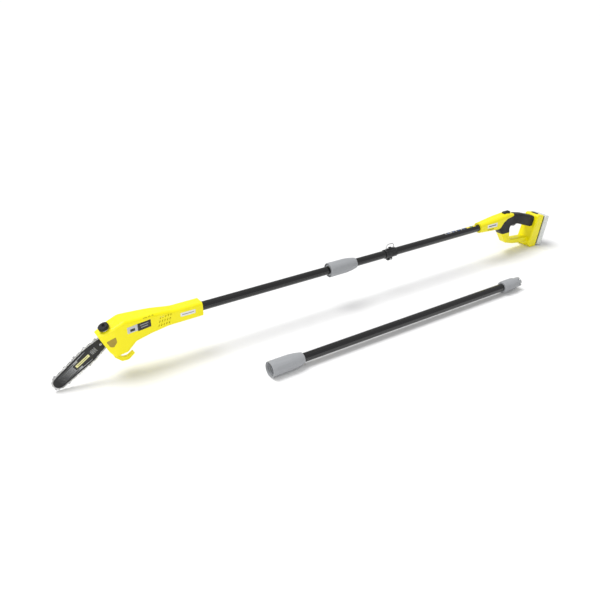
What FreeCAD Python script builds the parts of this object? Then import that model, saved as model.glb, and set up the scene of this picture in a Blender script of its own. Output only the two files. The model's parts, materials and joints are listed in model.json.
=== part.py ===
import FreeCAD, Part
import math
import os

# Sectional pole saw: a saw head on its own tube, a handle section that the head
# section plugs into, and a loose extension tube that goes between the two.
# +X runs along the pole from the saw head to the handle, +Z is up, and the ground
# is Z = 0. The origin is the middle of the foot under the battery housing.

V = FreeCAD.Vector
X_AXIS = V(1, 0, 0)
Y_AXIS = V(0, 1, 0)
Z_AXIS = V(0, 0, 1)

# ---- driving dimensions, in millimetres and degrees ----
POLE_R = 13.5            # outer radius of every tube
POLE_WALL = 1.5
HANDLE_REACH = 284.0     # battery side of the grip to the front end of the handle housing
FOOT_X = 24.0            # middle of the foot, in the handle's own frame
HANDLE_TUBE_BARE = 582.0   # bare tube between the handle housing and the union nut
HEAD_TUBE_BARE = 457.0     # bare tube between the union nut and the saw head
EXTENSION_TUBE = 934.0     # extension tube, nut face to collar
EXTENSION_Y = -250.0       # the extension tube lies beside the saw
EXTENSION_X = -1371.0      # its nut's face

NUT_L = 108.0
NUT_R = 24.0
NUT_REAR_R = 17.6
COLLAR_L = 57.0          # threaded collar on the front tube of each joint
COLLAR_R = 20.6
SPIGOT_L = 27.0          # toothed spigot that keys into the rear tube's bush
SPIGOT_R = 16.6
SPIGOT_TEETH = 6
THREAD_PITCH = 6.0
BUSH_R = 19.4

WALL = 2.5               # moulded housings
GAP = 0.3                # clearance between separate bodies

PIN_R = 1.5              # contact pins in each pole joint, and their ring
PIN_RING = 4.5

HEAD_L = 306.0
HEAD_HALF = 31.0         # half the saw head's width
HEAD_SOFT = 9.0          # rounding along the head's edges
SOCKET_HALF = 22.0       # half the width of the head's tube socket
SOCKET_DEPTH = 62.0      # how far the tubes enter the two housings
HOOK_HALF = 5.0

BAR_PLANE = 6.0          # the guide bar lies this far behind the pole's axis
BAR_ANGLE = 32.7         # the bar points this far below the pole's axis
BAR_REACH = 205.0        # drive sprocket to nose centre
BAR_WIDEST = 100.0       # drive sprocket to the bar's widest place
BAR_HALF = 22.5          # half the bar's width there
BAR_NOSE_R = 17.0
BAR_TAIL = 16.0          # drive sprocket to the bar's rear end
BAR_T = 4.0
OIL_HOLE_X = -60.0       # oil hole through the bar, just outside the head's mouth
OIL_HOLE_R = 1.6
GROOVE = 1.9
SPROCKET_X = -246.0      # drive sprocket's axis, from the head's rear end
SPROCKET_Z = 0.5         # and from the pole's axis
SPROCKET_WRAP = 10.0     # radius of the chain's rail line round the drive sprocket
SPROCKET_R = 5.65        # bottom of the sprocket's track, just inside the drive links
SPROCKET_BORE = 3.5
NOSE_TEETH = 8
CHAIN_T = 1.3            # drive links
CHAIN_W = 6.4            # over both side links
CHAIN_H = 4.6            # side links above the rail line
CUTTER_H = 7.4           # cutters above the rail line
TANG = 4.0               # drive links below the rail line
CUTTER_PITCH = 38.1      # one cutter on alternate sides each four links
STUD_R = 3.0
STUDS = (-28.0, -42.0)   # bar studs, along the bar from the drive sprocket
TENSION_TRAVEL = 5.0
TENSION_Z = -6.6         # the tension screw runs beside the studs
TENSION_Y = -4.6         # and this far from the bar's middle plane
SCREW_R = 1.5
SCREW_HEAD_R = 2.6
PEG_X = -36.0            # tension peg, in a hole of the bar
PEG_R = 1.4
SLIDER = 4.0
BAR_CLEAR = -14.0        # the bar's bed ends this far ahead of the drive sprocket

GEAR_MODULE = 1.0
PINION_TEETH = 12
IDLER_TEETH = 34
DRIVE_TEETH = 30
GEAR_W = 7.0
GEAR_Y = -21.0           # near face of the gears
BACKLASH = 0.35
IDLER_ANGLE = 5.0        # direction from the drive gear to the idler, above +X
MOTOR_ANGLE = -12.0      # direction from the idler to the motor
SHAFT_R = 5.0
MOTOR_SHAFT_R = 2.5
MOTOR_R = 20.0
MOTOR_L = 35.5
PLATE_T = 2.0            # gear plate
RUNNING = 0.06           # radial clearance of a shaft in its bore

CAP_R = 15.0             # oil cap
CAP_H = 15.0
CAP_Y = -8.0
CAP_ALONG = 27.0         # from the head's front edge, up its front slope
NECK_R = 9.0             # oil tank's filler neck
NECK_BORE = 7.2
NECK_L = 18.0
SLOPE_TOP = (-236.0, 34.0)   # upper end of the head's front slope
MOUTH_TOP = 6.0              # and its lower end, at the head's front

BOX_HALF = 32.0          # half the battery housing's width
GRIP_HALF = 18.0
GRIP_SOFT = 7.5
CONE_SOFT = 12.0
EYE_SOFT = 3.0           # rounding round the grip's eye
RUBBER = 2.2
RAKE = 11.3              # lean of the battery housing's rear face
BOX_TOP = -10.0          # upper rear edge of the battery housing, from the pole's axis
BOX_REAR = 62.0          # and from the foot
PACK_HALF = 35.0
PACK_T = 30.0
PACK_H = 119.0
CELL_R = 8.9
CELL_L = 64.0
RAIL_Y = 18.0
RAIL_L = 92.0
TRIGGER_X = -112.0       # trigger's pivot
TRIGGER_Z = -4.0
LATCH_X = 40.0
LOCK_X = -135.0
RING_WIRE = 1.5
STRAP_X = -739.0         # strap clamp
STRAP_L = 48.0
BAND_T = 2.2

# ---- stations along the pole, worked out from the lengths above ----
BAR_DROP = BAR_REACH * math.sin(math.radians(BAR_ANGLE)) - SPROCKET_Z
POLE_Z = BAR_DROP + BAR_NOSE_R + CUTTER_H   # the chain's tip touches the ground
HANDLE_X = -HANDLE_REACH
HANDLE_END = HANDLE_X - FOOT_X
NUT_X = HANDLE_END - HANDLE_TUBE_BARE - NUT_L
HEAD_X = NUT_X - HEAD_TUBE_BARE
EXTENSION_Z = NUT_R
COLLAR_IN = 2.0          # the collar starts this far inside the nut's mouth

PARTS = "parts"
os.makedirs(PARTS, exist_ok=True)


def save(name, shape):
    """Write one node."""
    shape = shape.removeSplitter()
    shape.exportStep(PARTS + "/" + name + ".step")
    print(name, round(shape.Volume), len(shape.Solids), shape.isValid())


# ---- shape helpers ----
def block(x0, x1, y0, y1, z0, z1):
    return Part.makeBox(x1 - x0, y1 - y0, z1 - z0, V(x0, y0, z0))


def rod(x, y, z, radius, length, axis=X_AXIS):
    return Part.makeCylinder(radius, length, V(x, y, z), axis)


def pipe(x, y, z, outer, inner, length, axis=X_AXIS):
    return rod(x, y, z, outer, length, axis).cut(rod(x, y, z, inner, length, axis))


def revolved(profile, x, y, z, axis=X_AXIS):
    """Revolve (along, radius) points about an axis through x, y, z."""
    side = Y_AXIS if axis != Y_AXIS else Z_AXIS
    base = V(x, y, z)
    points = [base + axis * a + side * r for a, r in profile]
    face = Part.Face(Part.makePolygon(points + points[:1]))
    return face.revolve(base, axis, 360)


def rounded_wire(corners):
    """Closed X-Z wire through (x, z, corner radius) points, with tangent arcs."""
    points = [V(c[0], 0, c[1]) for c in corners]
    count = len(points)
    ends = []
    for i, corner in enumerate(corners):
        here = points[i]
        back = (points[i - 1] - here).normalize()
        ahead = (points[(i + 1) % count] - here).normalize()
        half = back.getAngle(ahead) / 2
        run = corner[2] / math.tan(half)
        middle = here + (back + ahead).normalize() * (corner[2] / math.sin(half) - corner[2])
        ends.append((here + back * run, middle, here + ahead * run))
    edges = []
    for i in range(count):
        first, middle, last = ends[i]
        if (first - last).Length > 1e-6:
            edges.append(Part.Arc(first, middle, last).toShape())
        start = ends[(i + 1) % count][0]
        edges.append(Part.makeLine(last, start))
    return Part.Wire(edges)


def slab(corners, y0, y1, inset=0.0):
    """Extrude a rounded outline along Y, drawn in by inset."""
    face = Part.Face(rounded_wire(corners))
    if inset:
        face = face.makeOffset2D(-inset)
    face.translate(V(0, y0, 0))
    return face.extrude(V(0, y1 - y0, 0))


def rim_edges(shape, y):
    """Edges of the flat side face at y."""
    found = []
    for face in shape.Faces:
        box = face.BoundBox
        if abs(box.YMin - y) < 1e-4 and abs(box.YMax - y) < 1e-4:
            found += face.Edges
    return found


def soft_slab(corners, half, radius, inset=0.0):
    """A slab, symmetric about Y = 0, with its side edges rounded."""
    solid = slab(corners, -half + inset, half - inset, inset)
    rims = rim_edges(solid, -half + inset) + rim_edges(solid, half - inset)
    return solid.makeFillet(radius, rims)


def crossed(outline, plan_view, inset, radius):
    """Side view and plan view crossed, with the edges along the sides rounded."""
    side = slab(outline, -60, 60, inset)
    plan = slab(plan_view, -100, 100, inset)
    plan.rotate(V(0, 0, 0), X_AXIS, 90)
    solid = side.common(plan)
    ends = (solid.BoundBox.XMin, solid.BoundBox.XMax)
    rims = []
    for edge in solid.Edges:
        middle = (edge.FirstParameter + edge.LastParameter) / 2
        point, tangent = edge.valueAt(middle), edge.tangentAt(middle)
        at_end = min(abs(point.x - x) for x in ends) < 1
        if abs(point.y) > 10 and abs(tangent.z) < 0.85 and not at_end:
            rims.append(edge)
    return solid.makeFillet(radius, rims)


def near_half(shape):
    return shape.common(block(-3000, 3000, -300, 0, -400, 900))


def far_half(shape):
    return shape.common(block(-3000, 3000, 0, 300, -400, 900))


def gear(teeth, module, width, bore, turn):
    """Spur gear about the Y axis at the origin, with straight-flanked teeth."""
    pitch_r = teeth * module / 2
    root_r = pitch_r - 1.25 * module
    tip_r = pitch_r + 0.95 * module
    step = 2 * math.pi / teeth
    tooth_half = (math.pi * module / 2 - BACKLASH) / 2 / pitch_r
    points = []
    for i in range(teeth):
        middle = turn + i * step
        for radius, offset in ((root_r, -1.75), (pitch_r, -1.0), (tip_r, -0.42),
                               (tip_r, 0.42), (pitch_r, 1.0), (root_r, 1.75)):
            angle = middle + offset * tooth_half
            points.append(V(radius * math.cos(angle), 0, radius * math.sin(angle)))
    face = Part.Face(Part.makePolygon(points + points[:1]))
    return face.extrude(V(0, width, 0)).cut(rod(0, -1, 0, bore, width + 2, Y_AXIS))


# ---- pole joint: union nut, collar, spigot, bush and plug-in contacts ----
def union_nut(x, y, z):
    """Barrel nut with flats, an internal thread and a rear cone that pulls the bush."""
    outer = revolved([(0, 0), (0, NUT_R - 1.5), (1.5, NUT_R), (NUT_L * 0.58, NUT_R),
                      (NUT_L * 0.8, NUT_R - 2.2), (NUT_L - 4, NUT_REAR_R + 1),
                      (NUT_L, NUT_REAR_R), (NUT_L, 0)], x, y, z)
    thread_l = COLLAR_IN + COLLAR_L
    rear_bore = POLE_R + GAP
    inner = [(-1, 0), (-1, COLLAR_R + 1.4), (1.5, COLLAR_R + 1.4), (2, COLLAR_R + 1.0)]
    turns = int((thread_l - 8) / THREAD_PITCH)
    for i in range(turns):
        start = 4 + i * THREAD_PITCH
        inner += [(start, COLLAR_R + 1.0), (start + 1.2, COLLAR_R + GAP),
                  (start + 2.4, COLLAR_R + GAP), (start + 3.6, COLLAR_R + 1.0)]
    cone = NUT_L - 14
    inner += [(thread_l, COLLAR_R + GAP), (thread_l + 1.5, BUSH_R + GAP), (cone, BUSH_R + GAP),
              (NUT_L - 7, rear_bore), (NUT_L + 1, rear_bore), (NUT_L + 1, 0)]
    nut = outer.cut(revolved(inner, x, y, z))
    for i in range(8):
        angle = 22.5 + i * 45
        panel = block(x + 16, x + NUT_L * 0.62, y + NUT_R - 0.9, y + NUT_R + 4, z - 5.5, z + 5.5)
        panel.rotate(V(x, y, z), X_AXIS, angle)
        nut = nut.cut(panel)
        flat = block(x - 1, x + NUT_L * 0.6, y + NUT_R - 0.45, y + NUT_R + 4, z - 12, z + 12)
        flat.rotate(V(x, y, z), X_AXIS, angle + 22.5)
        nut = nut.cut(flat)
    return nut


def collar(x, y, z):
    """Threaded collar fixed on the rear end of a front tube."""
    profile = [(0, POLE_R), (0, COLLAR_R - 2.2), (1, COLLAR_R - 1.2)]
    turns = int((COLLAR_L - 8) / THREAD_PITCH)
    for i in range(turns):
        start = 4 + COLLAR_IN + i * THREAD_PITCH + 3.0
        profile += [(start - 2.4, COLLAR_R - 1.2), (start - 1.2, COLLAR_R),
                    (start + 0.4, COLLAR_R), (start + 1.2, COLLAR_R - 1.2)]
    profile += [(COLLAR_L, COLLAR_R - 1.2), (COLLAR_L, POLE_R)]
    return revolved(profile, x, y, z)


def spigot(x, y, z):
    """Toothed spigot pressed into the tube's end, with a middle wall for the contacts."""
    inside = POLE_R - POLE_WALL
    body = pipe(x, y, z, SPIGOT_R, 9.0, SPIGOT_L)
    body = body.fuse(pipe(x - 18, y, z, inside, 9.0, 18))
    body = body.fuse(rod(x - 18, y, z, 9.5, 5))
    for i in range(SPIGOT_TEETH):
        notch = block(x + SPIGOT_L - 12, x + SPIGOT_L + 1, y + 10, y + 30, z - 2.5, z + 2.5)
        notch.rotate(V(x, y, z), X_AXIS, i * 360 / SPIGOT_TEETH)
        body = body.cut(notch)
    for dy, dz in pin_places():
        body = body.cut(rod(x - 20, y + dy, z + dz, PIN_R, 10))
    return body


def pin_places():
    return [(PIN_RING * math.cos(a), PIN_RING * math.sin(a))
            for a in (math.pi / 2, math.pi * 7 / 6, math.pi * 11 / 6)]


def pins(x, y, z):
    """Three contact pins that stand in the spigot."""
    return Part.makeCompound([rod(x - 20, y + dy, z + dz, PIN_R, 20 + SPIGOT_L - 4)
                              for dy, dz in pin_places()])


def bush(x, y, z):
    """Keyed bush fixed on the front end of a rear tube; its cone seats in the nut."""
    start = COLLAR_IN + COLLAR_L + 1
    cone = NUT_L - 14 - 1.0
    tube_start = COLLAR_IN + COLLAR_L + SPIGOT_L + 1.5
    body = revolved([(start, SPIGOT_R + GAP), (start, BUSH_R), (cone, BUSH_R),
                     (cone + 6, POLE_R + 0.9), (cone + 6, POLE_R), (tube_start, POLE_R),
                     (tube_start, SPIGOT_R + GAP)], x, y, z)
    for i in range(SPIGOT_TEETH):
        key = block(x + tube_start - 11, x + tube_start, y + 10.5, y + SPIGOT_R + GAP + 0.5,
                    z - 2.1, z + 2.1)
        key.rotate(V(x, y, z), X_AXIS, i * 360 / SPIGOT_TEETH)
        body = body.fuse(key)
    return body


def contact_insert(x, y, z):
    """Plastic insert in the rear tube's mouth with three blind contact holes."""
    tube_start = COLLAR_IN + COLLAR_L + SPIGOT_L + 1.5
    body = rod(x + tube_start - 14, y, z, 8.5, 14).fuse(
        rod(x + tube_start, y, z, POLE_R - POLE_WALL, 16))
    for dy, dz in pin_places():
        body = body.cut(rod(x + tube_start - 15, y + dy, z + dz, PIN_R + GAP, 20))
    return body


def rear_tube_start():
    return COLLAR_IN + COLLAR_L + SPIGOT_L + 1.5


def front_tube_end():
    return COLLAR_IN + COLLAR_L


def pole(x0, x1, y, z):
    return pipe(x0, y, z, POLE_R, POLE_R - POLE_WALL, x1 - x0)


# ---- saw head, in a frame with X = 0 at its rear end and Z = 0 on the pole's axis ----
def at_head(shape):
    shape.translate(V(HEAD_X, 0, POLE_Z))
    return shape


def along_bar(shape):
    """From the bar's own frame, nose towards -X and drive sprocket at 0, to the head's."""
    shape.rotate(V(0, 0, 0), Y_AXIS, -BAR_ANGLE)
    shape.translate(V(SPROCKET_X, BAR_PLANE, SPROCKET_Z))
    return at_head(shape)


SLOPE = math.atan2(SLOPE_TOP[1] - MOUTH_TOP, SLOPE_TOP[0] + HEAD_L)


def head_outline():
    front = -HEAD_L
    return [(0, SOCKET_HALF, 0), (0, -SOCKET_HALF, 0), (-108, -SOCKET_HALF - 1, 60),
            (-161, -28, 60), (-206, -37, 14), (-232, -62, 14), (front + 38, -67, 10),
            (front + 26, -52, 0), (front, MOUTH_TOP, 0), (SLOPE_TOP[0], SLOPE_TOP[1], 26),
            (-146, 30, 40), (-84, SOCKET_HALF, 60)]


def head_plan():
    front = -HEAD_L
    side = [(0, SOCKET_HALF, 0), (-100, SOCKET_HALF, 60), (-170, HEAD_HALF - 2.5, 60),
            (-215, HEAD_HALF, 40), (-262, HEAD_HALF, 30), (front - 2, 19, 0)]
    return side + [(x, -y, r) for x, y, r in reversed(side)]


def head_solid(inset):
    return crossed(head_outline(), head_plan(), inset, HEAD_SOFT - inset * 0.8)


def slope_point(along, out=0.0):
    """A point on the head's front slope, and out along its normal."""
    x = -HEAD_L + along * math.cos(SLOPE) - out * math.sin(SLOPE)
    z = MOUTH_TOP + along * math.sin(SLOPE) + out * math.cos(SLOPE)
    return V(x, CAP_Y, z)


SLOPE_OUT = V(-math.sin(SLOPE), 0, math.cos(SLOPE))
TANK = [(-293, 2, 2), (-272, 2, 2), (-264, -12, 3), (-243, -18, 4), (-243, -54, 5),
        (-262, -58, 4), (-273, -46, 4)]
WINDOW = [(-287, -14, 2), (-262, -3, 2), (-260, -19, 2), (-270, -33, 2), (-279, -31, 2)]


def mouth_cut():
    """Way for the bar and chain through the head's slanted mouth, and for a screwdriver."""
    high = BAR_HALF + CUTTER_H - 1.5
    slot = block(-130, -40, -5, 5, -high, high)
    slot = slot.fuse(rod(-130, TENSION_Y, TENSION_Z, SCREW_HEAD_R + GAP, 85))
    slot.rotate(V(0, 0, 0), Y_AXIS, -BAR_ANGLE)
    slot.translate(V(SPROCKET_X, BAR_PLANE, SPROCKET_Z))
    return slot


def stud_pocket():
    """Oblong well in the cover over the two bar nuts."""
    middle = (STUDS[0] + STUDS[1]) / 2
    well = block(middle - 7, middle + 7, 14, 40, -8, 8)
    well = well.fuse(rod(middle - 7, 14, 0, 8, 26, Y_AXIS))
    well = well.fuse(rod(middle + 7, 14, 0, 8, 26, Y_AXIS))
    well.rotate(V(0, 0, 0), Y_AXIS, -BAR_ANGLE)
    well.translate(V(SPROCKET_X, BAR_PLANE, SPROCKET_Z))
    return well


def cover_pad():
    """Boss of the cover that clamps the bar."""
    middle = (STUDS[0] + STUDS[1]) / 2
    pad = block(middle - 16, middle + 15, BAR_T / 2 + 0.2, 17, -8.8, 8.8)
    for x in STUDS:
        pad = pad.cut(rod(x, 0, 0, STUD_R + GAP, 30, Y_AXIS))
    pad = pad.cut(block(STUDS[1] - 3, STUDS[0] + 3, 0, 3.5, TENSION_Z - 2, TENSION_Z + 2))
    pad.rotate(V(0, 0, 0), Y_AXIS, -BAR_ANGLE)
    pad.translate(V(SPROCKET_X, BAR_PLANE, SPROCKET_Z))
    return pad


def vents():
    """Three staggered rows of slanted air slots."""
    cuts = []
    for row in range(3):
        for i in range(5):
            x = -137 + i * 8 + row * 3.5
            z = -9 + row * 11.5
            slot = block(x - 1.1, x + 1.1, -45, 45, z - 3.5, z + 3.5)
            slot.rotate(V(x, 0, z), Y_AXIS, 25)
            cuts.append(slot)
    return Part.makeCompound(cuts)


def head_ribs(outer):
    """Two ribs that hold the tube in the head's socket."""
    ribs = [outer.common(block(-14, 0, -60, 60, -60, 60)),
            outer.common(block(-SOCKET_DEPTH - 4, -SOCKET_DEPTH + 8, -60, 60, -60, 60))]
    return ribs[0].fuse(ribs[1])


def head_shells():
    outer = head_solid(0)
    hollow = head_solid(WALL)
    shell = outer.cut(hollow).fuse(head_ribs(outer))
    shell = shell.cut(rod(-SOCKET_DEPTH, 0, 0, POLE_R, SOCKET_DEPTH + 1))
    shell = shell.cut(rod(-SOCKET_DEPTH - 10, 0, 0, 8, 20))
    shell = shell.cut(mouth_cut()).cut(vents())
    neck_hole = Part.makeCylinder(NECK_R, 20, slope_point(CAP_ALONG, -10), SLOPE_OUT)
    shell = shell.cut(neck_hole)
    window = slab(WINDOW, -60, -8)
    near = near_half(shell)
    pane = near.common(window)
    near = near.cut(window)
    far = far_half(shell)
    cover_space = block(-HEAD_L - 10, -222, BAR_PLANE + 5.5, 60, -90, 60)
    cover = far.common(cover_space)
    far = far.cut(cover_space)
    cover = cover.fuse(cover_pad().common(outer)).cut(stud_pocket()).cut(far)
    save("head_shell_left", at_head(near))
    save("head_shell_right", at_head(far))
    save("sprocket_cover", at_head(cover))
    save("oil_window", at_head(pane))
    hook = slab([(-270, -50, 2), (-266, -80, 6), (-247, -98, 9), (-228, -99, 8), (-208, -84, 3),
                 (-212, -77, 2), (-229, -88, 6), (-243, -87, 7), (-250, -78, 5), (-244, -50, 2)],
                -HOOK_HALF, HOOK_HALF)
    save("branch_hook", at_head(hook.cut(outer)))
    return outer


# ---- bar and chain, in the bar's own frame ----
def rail_face(offset, tail=SPROCKET_WRAP, widest=BAR_WIDEST):
    """Face inside the chain's rail line: tangents round tail, widest part and nose."""
    rounds = [(0, tail + offset), (-widest, BAR_HALF + offset),
              (-BAR_REACH, BAR_NOSE_R + offset)]
    upper = []
    for (xa, ra), (xb, rb) in zip(rounds, rounds[1:]):
        nx = (rb - ra) / (xa - xb)
        nz = math.sqrt(1 - nx * nx)
        upper.append((V(xa + ra * nx, 0, ra * nz), V(xb + rb * nx, 0, rb * nz)))
    lower = [(V(b.x, 0, -b.z), V(a.x, 0, -a.z)) for a, b in reversed(upper)]
    crown = V(-widest, 0, BAR_HALF + offset)
    sole = V(-widest, 0, -BAR_HALF - offset)
    nose = V(-BAR_REACH - BAR_NOSE_R - offset, 0, 0)
    back = V(tail + offset, 0, 0)
    edges = [Part.makeLine(*upper[0]),
             Part.Arc(upper[0][1], crown, upper[1][0]).toShape(),
             Part.makeLine(*upper[1]),
             Part.Arc(upper[1][1], nose, lower[0][0]).toShape(),
             Part.makeLine(*lower[0]),
             Part.Arc(lower[0][1], sole, lower[1][0]).toShape(),
             Part.makeLine(*lower[1]),
             Part.Arc(lower[1][1], back, upper[0][0]).toShape()]
    return Part.Face(Part.Wire(edges))


def rail_solid(offset, y0, y1, **sizes):
    face = rail_face(offset, **sizes)
    face.translate(V(0, y0, 0))
    return face.extrude(V(0, y1 - y0, 0))


def guide_bar():
    sizes = {"tail": SPROCKET_WRAP - 2, "widest": BAR_WIDEST + TENSION_TRAVEL}
    half = BAR_T / 2
    bar = rail_solid(-GAP, -half, half, **sizes)
    groove = rail_solid(1, -GROOVE / 2, GROOVE / 2, **sizes).cut(
        rail_solid(-TANG - 0.8, -half, half, **sizes))
    bar = bar.cut(groove).cut(block(-BAR_TAIL, 40, -5, 5, -40, 40))
    bar = bar.cut(rod(-BAR_REACH, -GROOVE / 2, 0, BAR_NOSE_R - TANG + 0.6, GROOVE, Y_AXIS))
    bar = bar.fuse(rod(-BAR_REACH, -half, 0, 3, BAR_T, Y_AXIS))
    low, high = STUDS[1] - STUD_R - GAP - TENSION_TRAVEL, STUDS[0] + STUD_R + GAP
    radius = STUD_R + GAP
    slot = block(low + radius, high - radius, -5, 5, -radius, radius)
    slot = slot.fuse(rod(low + radius, -5, 0, radius, 10, Y_AXIS))
    slot = slot.fuse(rod(high - radius, -5, 0, radius, 10, Y_AXIS))
    bar = bar.cut(slot).cut(rod(PEG_X, -5, TENSION_Z, PEG_R, 10, Y_AXIS))
    bar = bar.cut(rod(OIL_HOLE_X, -5, 0, OIL_HOLE_R, 10, Y_AXIS))
    save("guide_bar", along_bar(bar))


def tensioner():
    """Peg and threaded slider on the bar, and the screw that draws them along."""
    low = TENSION_Y + 1.0 - SLIDER / 2 - 0.6
    slider = block(PEG_X - 4, PEG_X + 4, low, -BAR_T / 2, TENSION_Z - 3.4, TENSION_Z + 3.2)
    slider = slider.cut(rod(PEG_X - 6, TENSION_Y, TENSION_Z, SCREW_R + RUNNING, 12))
    slider = slider.fuse(rod(PEG_X, -BAR_T / 2, TENSION_Z, PEG_R, BAR_T, Y_AXIS))
    save("tension_slider", along_bar(slider))
    screw = rod(-50, TENSION_Y, TENSION_Z, SCREW_R, 30)
    head = rod(-53, TENSION_Y, TENSION_Z, SCREW_HEAD_R, 3)
    head = head.cut(block(-54, -51.8, TENSION_Y - 3, TENSION_Y + 3, TENSION_Z - 0.4, TENSION_Z + 0.4))
    save("tension_screw", along_bar(screw.fuse(head)))


def place_along(distance):
    """Point and outward direction at a distance along the rail line."""
    wire = rail_face(0).OuterWire
    for edge in wire.OrderedEdges:
        if distance <= edge.Length:
            parameter = edge.getParameterByLength(distance)
            return edge.valueAt(parameter), edge.tangentAt(parameter)
        distance -= edge.Length
    raise ValueError("beyond the rail line")


def chain():
    half = CHAIN_W / 2
    links = rail_solid(CHAIN_H, -half, half).cut(rail_solid(GAP, -half, half))
    drive = rail_solid(0.5, -CHAIN_T / 2, CHAIN_T / 2).cut(rail_solid(-TANG, -half, half))
    links = links.fuse(drive)
    length = rail_face(0).OuterWire.Length
    count = int(length / CUTTER_PITCH)
    for i in range(count):
        point, tangent = place_along((i + 0.5) * length / count)
        angle = math.degrees(math.atan2(tangent.z, tangent.x))
        side = half * (i % 2)
        tooth = block(-4.2, 4.2, side - half, side, CHAIN_H - 1, CUTTER_H)
        tooth.rotate(V(0, 0, 0), Y_AXIS, -angle + 180)
        tooth.translate(point)
        links = links.fuse(tooth)
    save("saw_chain", along_bar(links))


def nose_sprocket():
    wheel = gear(NOSE_TEETH, 2 * (BAR_NOSE_R - TANG - 2.9) / NOSE_TEETH, CHAIN_T, 3 + RUNNING, 0)
    wheel.translate(V(-BAR_REACH, -CHAIN_T / 2, 0))
    save("nose_sprocket", along_bar(wheel))


# ---- drive: gears about Y axes at three centres ----
def gear_centres():
    drive = V(SPROCKET_X, 0, SPROCKET_Z)
    reach = (DRIVE_TEETH + IDLER_TEETH) * GEAR_MODULE / 2
    a = math.radians(IDLER_ANGLE)
    idler = drive + V(math.cos(a), 0, math.sin(a)) * reach
    reach = (IDLER_TEETH + PINION_TEETH) * GEAR_MODULE / 2
    b = math.radians(MOTOR_ANGLE)
    motor = idler + V(math.cos(b), 0, math.sin(b)) * reach
    return drive, idler, motor


def mesh_turn(turn, teeth, mate_teeth, direction):
    """Turn that meshes a mating gear with one standing at turn."""
    return direction + math.pi + math.pi / mate_teeth - (turn - direction) * teeth / mate_teeth


def drive_train():
    drive, idler, motor = gear_centres()
    turns = [math.radians(IDLER_ANGLE)]
    turns.append(mesh_turn(turns[0], DRIVE_TEETH, IDLER_TEETH, math.radians(IDLER_ANGLE)))
    turns.append(mesh_turn(turns[1], IDLER_TEETH, PINION_TEETH, math.radians(MOTOR_ANGLE)))
    rows = (("drive_gear", drive, DRIVE_TEETH, SHAFT_R, turns[0]),
            ("idler_gear", idler, IDLER_TEETH, 2.5 + RUNNING, turns[1]),
            ("motor_pinion", motor, PINION_TEETH, MOTOR_SHAFT_R, turns[2]))
    for name, centre, teeth, bore, turn in rows:
        wheel = gear(teeth, GEAR_MODULE, GEAR_W, bore, turn)
        wheel.translate(centre + V(0, GEAR_Y, 0))
        save(name, at_head(wheel))
    half = CHAIN_W / 2
    shoulder = BAR_PLANE - half
    shaft = rod(drive.x, GEAR_Y, drive.z, SHAFT_R, shoulder - GEAR_Y, Y_AXIS)
    shaft = shaft.fuse(rod(drive.x, shoulder, drive.z, SPROCKET_BORE, CHAIN_W + 1, Y_AXIS))
    save("drive_shaft", at_head(shaft))
    wheel = pipe(0, shoulder, 0, SPROCKET_WRAP - GAP, SPROCKET_BORE, CHAIN_W, Y_AXIS)
    track = CHAIN_T / 2 + GAP
    wheel = wheel.cut(pipe(0, BAR_PLANE - track, 0, SPROCKET_WRAP, SPROCKET_R, 2 * track, Y_AXIS))
    wheel.translate(drive)
    save("drive_sprocket", at_head(wheel))
    motor_y = GEAR_Y + GEAR_W + 1.5 + PLATE_T
    can = rod(motor.x, motor_y, motor.z, MOTOR_R, MOTOR_L, Y_AXIS)
    can = can.cut(rod(motor.x, motor_y + 3, motor.z, MOTOR_R - 3, MOTOR_L - 6, Y_AXIS))
    can = can.cut(rod(motor.x, motor_y - 1, motor.z, MOTOR_SHAFT_R + RUNNING, MOTOR_L + 2, Y_AXIS))
    save("motor_can", at_head(can))
    rotor = rod(motor.x, motor_y + 5, motor.z, MOTOR_R - 5, MOTOR_L - 10, Y_AXIS)
    rotor = rotor.fuse(rod(motor.x, GEAR_Y, motor.z, MOTOR_SHAFT_R,
                           motor_y + MOTOR_L - 0.5 - GEAR_Y, Y_AXIS))
    save("motor_rotor", at_head(rotor))
    return drive, idler, motor, motor_y


def gear_plate(drive, idler, motor, motor_y):
    """Plate that carries the motor, the idler's axle, the shaft's bearing and the bar."""
    y0 = motor_y - PLATE_T
    outline = [(drive.x - 13, drive.z - 10, 4), (motor.x + 16, motor.z - 14, 6),
               (motor.x + 18, motor.z + 12, 6), (drive.x - 8, drive.z + 13, 6)]
    plate = slab(outline, y0, motor_y)
    plate = plate.fuse(rod(drive.x, y0, drive.z, SHAFT_R + 3, BAR_PLANE - 3.6 - y0, Y_AXIS))
    arm = block(STUDS[1] - 8, 6, -6.8, -BAR_T / 2 - 0.2, -10, 8)
    arm = arm.cut(block(PEG_X - 4.5, PEG_X + 4.5 + TENSION_TRAVEL, -8, 2, -12, -3.2))
    arm = arm.cut(rod(-70, TENSION_Y, TENSION_Z, SCREW_R + RUNNING, 90))
    arm = arm.cut(block(BAR_CLEAR, 20, -3.4, 2, -20, 20))
    for x in STUDS:
        arm = arm.fuse(rod(x, -BAR_T, 0, STUD_R, 22, Y_AXIS))
    arm.rotate(V(0, 0, 0), Y_AXIS, -BAR_ANGLE)
    arm.translate(V(SPROCKET_X, BAR_PLANE, SPROCKET_Z))
    plate = plate.fuse(arm).common(head_solid(WALL))
    plate = plate.cut(rod(drive.x, -40, drive.z, SHAFT_R + RUNNING, 80, Y_AXIS))
    plate = plate.cut(rod(motor.x, y0 - 1, motor.z, MOTOR_SHAFT_R + 2, PLATE_T + 2, Y_AXIS))
    plate = plate.fuse(rod(idler.x, GEAR_Y - 1, idler.z, 2.5, y0 - GEAR_Y + 2, Y_AXIS))
    plate = plate.cut(slab(TANK, -17, -1.2))
    save("gear_plate", at_head(plate))


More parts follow.
